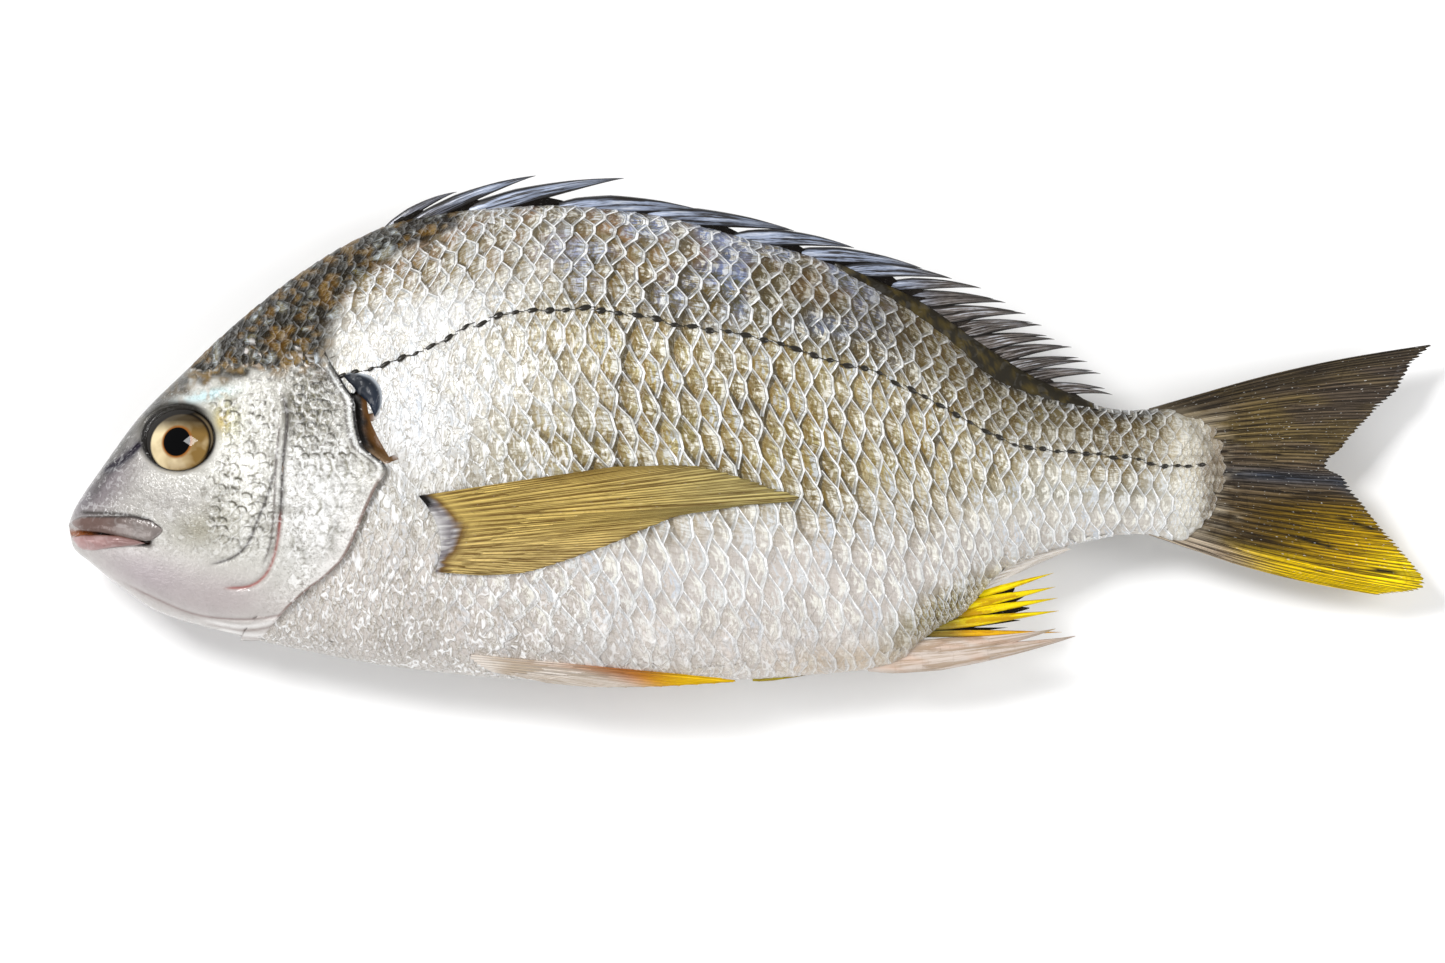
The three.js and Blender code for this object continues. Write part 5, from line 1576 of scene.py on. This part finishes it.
def build_rays(name, place, height, rays, thick, tree, flatness, paint, material, sides=6):
    """Rays along lines of constant share across; each ray gives its share across, start, end and spread."""
    lines = []
    for share, start, end, scale in rays:
        along = start + (end - start) * np.linspace(0, 1, 14)
        across = np.full(len(along), share)
        at = place(across, along)
        points = np.column_stack([at, height(at[:, 0], at[:, 1])])
        lines.append((points, thick * scale * (1 - 0.75 * along), np.column_stack([across, along])))
    return grow_rays(name, lines, 0.004, tree, flatness, sides, paint, material)


def branching(count, splits, end=1.0, first=0.0):
    """Even rays that each split in two at every given share along; the halves drift apart."""
    rays = []
    for i in range(count):
        middle = (i + 0.5) / count
        branches = [(middle, 0.5 / count)]
        start = first
        for level, split in enumerate([*splits, end]):
            thinner = 0.75**level
            following = []
            for at, room in branches:
                rays.append((at, start, split, thinner))
                following += [(at - room / 2, room / 2), (at + room / 2, room / 2)]
            branches = following
            start = split
    return rays


def build_spines(name, spines, tree, paint, material, bow, flatness, sides, sunk=1.0):
    """Folded spines: blades that rise from the back and taper to sharp tips."""
    lines = []
    t = np.linspace(0, 1, 18)
    for i, (foot, tip, width) in enumerate(spines):
        foot = (foot, float(back_line(foot)) - sunk) if np.isscalar(foot) else foot
        start, end = np.array(foot, float), np.array(tip, float)
        at = start + (end - start) * t[:, None]
        at[:, 1] += bow * np.sin(np.pi * t) ** 0.8
        z = middle_plane(at[:, 0]) + (0.5 if i % 2 else -0.2) * (1 - t)
        taper = np.interp(t, [0, 0.12, 0.35, 0.7, 1], [0.7, 0.95, 1, 0.55, 0.02])
        shares = np.column_stack([np.full(len(t), i * 0.37), t])
        lines.append((np.column_stack([at, z]), width / 2 * taper, shares))
    return grow_rays(name, lines, 0.06, tree, flatness, sides, paint, material)


def build_back_web(material):
    """The dark web between the folded spines, notched behind each tip."""
    rays = [*SPINES, *SOFT_RAYS]
    start, end = 76.0, 243.0
    d = np.linspace(start, end, 600)
    feet = np.array([foot for foot, _, _ in rays])
    tips = np.array([tip for _, tip, _ in rays])
    along = np.clip((d[:, None] - feet) / (tips[:, 0] - feet), 0, 1)
    ray_y = back_line(feet) + (tips[:, 1] - back_line(feet)) * along + 0.8 * np.sin(np.pi * along)
    rise = (ray_y - back_line(d)[:, None]) * fade(0.8, 0.3, along) * (along > 0)
    top = back_line(d) + np.maximum(rise.max(axis=1), 0.2)
    bottom = back_line(d) - 2.5
    share = np.linspace(0, 1, 8)
    y = bottom[:, None] + (top - bottom)[:, None] * share
    dd = np.broadcast_to(d[:, None], y.shape)
    rings = thin_sheet(dd, y, middle_plane(dd), 0.7 * (1 - 0.6 * share))
    far = rings[..., 0]
    paint = laid_over(one_colour(far, DARK_MEMBRANE), (0.8 * fade(190, 210, far), "#4d4641"))
    web = np.stack([(y - bottom[:, None]) * 0.3, (dd - start) / 60], axis=-1)
    maps = {"web": there_and_back(web, web)}
    return finish_piece(loft(rings), "back_fin_web", rings, paint, material, maps=maps)


def build_sheath(material):
    """The scaled sheath at the foot of the rear part of the back fin."""
    top = through(SHEATH_TOP)
    d = np.linspace(SHEATH_TOP[0][0], SHEATH_TOP[-1][0], 90)
    share = np.linspace(0, 1, 10)
    bottom = back_line(d) - 3
    y = bottom[:, None] + (top(d) - bottom)[:, None] * share
    dd = np.broadcast_to(d[:, None], y.shape)
    rounded = np.sqrt(np.clip(1.03 - share**2 * 0.9, 0, 1))
    half = 2.5 * rounded * fade(0, 0.08, (d - d[0]) / 60)[:, None] + 0.2
    rings = thin_sheet(dd, y, middle_plane(dd), half)
    patches = fade(0.45, 0.8, mottle(rings[..., 0], rings[..., 1], 1.3, 6))
    paint = laid_over(one_colour(patches, "#1b1504"), (0.6 * patches, "#51430f"))
    values = {"curls": np.full(patches.shape, 0.03)}
    return finish_piece(loft(rings), "back_fin_sheath", rings, paint, material, values=values)


# ------------------------------------------------------------------ the fish
bare_skin = skin_material("wet head skin", 1.8, 0.25, 0.32)
under_skin = skin_material("silver skin under the scales", 3.0, 0.1, 0.4)
lip_skin = skin_material("bare lip skin", 3.0, 0.15, 0.28)
dark_skin = skin_material("dark loose skin", 3.0, 0.1, 0.5, 0.2)
scale_skin = scale_material("wet silver fish scale", 0.7, 0.3)
nape_skin = scale_material("dark nape scale", 0.12, 0.05)
tail_web = fin_material("dark tail web", 19, 150, 2.3, "#4c4035")
gold_web = fin_material("golden breast fin web", 16, 90, 1.6, "#7d683c", 0.2)
pale_web = fin_material("pale belly fin web", 7, 40, 1.1, "#cfc2b0", 0.3)
yellow_web = fin_material("yellow anal fin web", 2, 12, 1.1, "#c8a838", 0.3)
spine_horn = spine_material()
eyeball = eye_material()

build_trunk_skin(under_skin)
overlapping_scales = scale_tree()
fin_rays = ray_tree()
plates = template(
    "plates",
    [
        plate_mesh("plate_a", 0.28, 0.0, 0.02), plate_mesh("plate_b", 0.16, 0.05, -0.02),
        plate_mesh("plate_c", 0.36, -0.06, 0.03), plate_mesh("plate_d", 0.1, -0.04, -0.03),
        plate_mesh("plate_e", 0.24, 0.07, 0.0),
    ],
)
pores = template(
    "pores",
    [pore_mesh("long", 1.15, 0.12), pore_mesh("short", 0.75, 0.1), pore_mesh("broad", 0.95, 0.145)],
)

for side, word in ((1, "left"), (-1, "right")):
    build_head_side(f"head_{word}", side, bare_skin)
    build_eye(f"eye_{word}", side, eyeball)
    build_roll(
        f"upper_jaw_{word}", UPPER_JAW_PLATE, (3.0, 3.6, 3.9, 4.6, 5.6, 5.2, 3.4), 0.8, side,
        ("#2c2422", "#6a554f", "#7f7672"), lip_skin,
    )
    build_roll(
        f"lower_lip_{word}", LOWER_LIP, (1.8, 3.6, 3.7, 3.1, 2.6, 1.6, 0.6), 1.3, side,
        ("#70402f", "#a2807e", "#90706c"), lip_skin,
    )
    build_roll(
        f"gill_flap_{word}", GILL_FLAP, (1.2, 3.2, 5.2, 4.8, 2.8, 0.8), 1.3, side,
        ("#c9d0d8", "#131a25", "#1b2433"), dark_skin, base=trunk_skin,
    )

    trunk_guide = body_guide(side)
    for zone, size, lift, seed, looseness in (
        ("flank", 1.0, 1.1, 11, 0.11), ("breast", 0.6, 1.3, 12, 0.2), ("nape", 0.72, 1.3, 13, 0.24),
        ("patch", 0.45, 1.6, 14, 0.12),
    ):
        lay_scales(
            f"{zone}_scales_{word}", trunk_guide, overlapping_scales, plates, zone, size, lift, seed,
            nape_skin if zone == "nape" else scale_skin, looseness=looseness,
        )
    lay_scales(
        f"tail_root_scales_{word}", tail_root_guide(side), overlapping_scales, plates, "root", 0.45, 1.1,
        16, scale_skin, looseness=0.2,
    )
    lay_scales(
        f"line_pores_{word}", trunk_guide, overlapping_scales, pores, "line", 0.86, 1.0, 15, under_skin,
        rows=1,
    )

    def on_flank(d, y, side=side):
        return middle_plane(d) + side * (trunk_skin(d, y) + 0.5 + 0.5 * fade(82, 92, d))

    breast_fin = fin_places(PECTORAL_ROOT, PECTORAL_TIPS)
    build_web(
        f"breast_fin_web_{word}", breast_fin, on_flank, 0.5, pectoral_paint, gold_web, (48, 0.02),
        (200, 28), seed=3,
    )
    breast_rays = branching(16, (0.4, 0.7), 0.98, 0.08)
    build_rays(
        f"breast_fin_rays_{word}", breast_fin, on_flank, breast_rays, 0.40, fin_rays, 0.9, pectoral_paint,
        gold_web,
    )

    def on_belly(d, y, side=side):
        return middle_plane(d) + side * (np.maximum(4.6, trunk_skin(d, y)) + 0.55)

    belly_fin = fin_places(PELVIC_ROOT, PELVIC_TIPS)
    build_web(
        f"belly_fin_web_{word}", belly_fin, on_belly, 1.0, pelvic_paint, pale_web, (14, 0.01), (84, 40),
        seed=4,
    )
    belly_rays = branching(7, (0.45,), 0.99)
    build_rays(
        f"belly_fin_rays_{word}", belly_fin, on_belly, belly_rays, 0.6, fin_rays, 0.8, pelvic_paint,
        pale_web,
    )
for shapes in (plates, pores):
    for shape in list(shapes.objects):
        bpy.data.objects.remove(shape)
    bpy.data.collections.remove(shapes)


def in_middle(d, y):
    return middle_plane(d)


def below_middle(d, y):
    return middle_plane(d) - 0.2


tail_fin = fin_places(TAIL_ROOT, TAIL_TIPS, 1.8)
build_web("tail_web", tail_fin, in_middle, 1.3, tail_paint, tail_web, (76, 0.022), (400, 26), seed=2)
tail_forks = branching(19, (0.35, 0.65), 0.98)
build_rays("tail_rays", tail_fin, in_middle, tail_forks, 0.75, fin_rays, 0.95, tail_paint, tail_web)
anal_fin = fin_places(ANAL_ROOT, ANAL_WEB_TIPS)
build_web("anal_web", anal_fin, below_middle, 0.7, anal_web_paint, tail_web, (5, 0.35), (80, 30), seed=5)
last_web = fin_places(LAST_WEB_ROOT, LAST_WEB_TIPS)
build_web("last_anal_web", last_web, in_middle, 0.9, last_web_paint, pale_web, (9, 0.06), (54, 24), seed=6)
build_spines("anal_rays", ANAL_RAYS, fin_rays, anal_paint, yellow_web, 0.0, 0.5, 8)
build_spines("far_belly_fin_tip", FAR_BELLY_TIP, fin_rays, far_belly_paint, yellow_web, 0.0, 0.5, 8)
build_spines("anal_spines", ANAL_SPINES, fin_rays, anal_spine_paint, pale_web, -1.2, 0.5, 12)
build_back_web(tail_web)
build_spines("back_spines", SPINES, fin_rays, spine_paint, spine_horn, 1.2, 0.4, 12)
between = []
for (foot, tip, _), (next_foot, next_tip, _) in zip([SPINES[-1], *SOFT_RAYS], SOFT_RAYS):
    middle_tip = (0.35 * tip[0] + 0.65 * next_tip[0] - 0.8, 0.35 * tip[1] + 0.65 * next_tip[1] - 0.3)
    between.append(((foot + next_foot) / 2, middle_tip, 2.4))
build_spines("back_soft_rays", SOFT_RAYS, fin_rays, spine_paint, spine_horn, 1.2, 0.5, 10)
build_spines("back_small_rays", between, fin_rays, spine_paint, spine_horn, 0.9, 0.5, 8)
build_sheath(dark_skin)

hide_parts("fish")

# ------------------------------------------------------------------ floor, light and camera
PLANE_WIDTH = 0.3383  # metres of the fish's plane that the picture's width shows
LENS, SENSOR = 300.0, 36.0
PICTURE_CENTRE = (-0.00702, -0.01173)

floor_mesh = bpy.data.meshes.new("floor")
floor_mesh.from_pydata([(-3, -3, 0), (3, -3, 0), (3, 3, 0), (-3, 3, 0)], [], [(0, 1, 2, 3)])
floor_mesh.materials.append(plain_material("matt white paper", "#fcfcfc", 0.9))
new_object("floor", floor_mesh)

world = bpy.data.worlds.new("white studio")
world.use_nodes = True
world.node_tree.nodes["Background"].inputs["Color"].default_value = rgba("#ffffff")
world.node_tree.nodes["Background"].inputs["Strength"].default_value = 0.36
bpy.context.scene.world = world


def softbox(name, place, aim, size, power):
    """A square soft light turned towards a point."""
    data = bpy.data.lights.new(name, "AREA")
    data.size = size
    data.energy = power
    lamp = new_object(name, data)
    lamp.location = place
    lamp.rotation_euler = (Vector(aim) - Vector(place)).to_track_quat("-Z", "Y").to_euler()


softbox("key softbox", (-0.66, 0.56, 1.2), (-0.02, 0, 0), 0.4, 14.5)
softbox("head fill", (-0.9, -0.45, 0.7), (0, 0, 0), 0.5, 3.0)
softbox("tail fill", (0.95, 0.15, 0.8), (0, 0, 0), 0.5, 6.0)
softbox("belly fill", (0.1, -0.95, 0.7), (0, 0, 0), 0.5, 2.5)

camera_data = bpy.data.cameras.new("camera")
camera_data.lens = LENS
camera_data.sensor_width = SENSOR
camera = new_object("camera", camera_data)
camera.location = (*PICTURE_CENTRE, REST_HEIGHT * MM + PLANE_WIDTH * LENS / SENSOR)
bpy.context.scene.camera = camera
bpy.context.scene.view_settings.view_transform = "Standard"
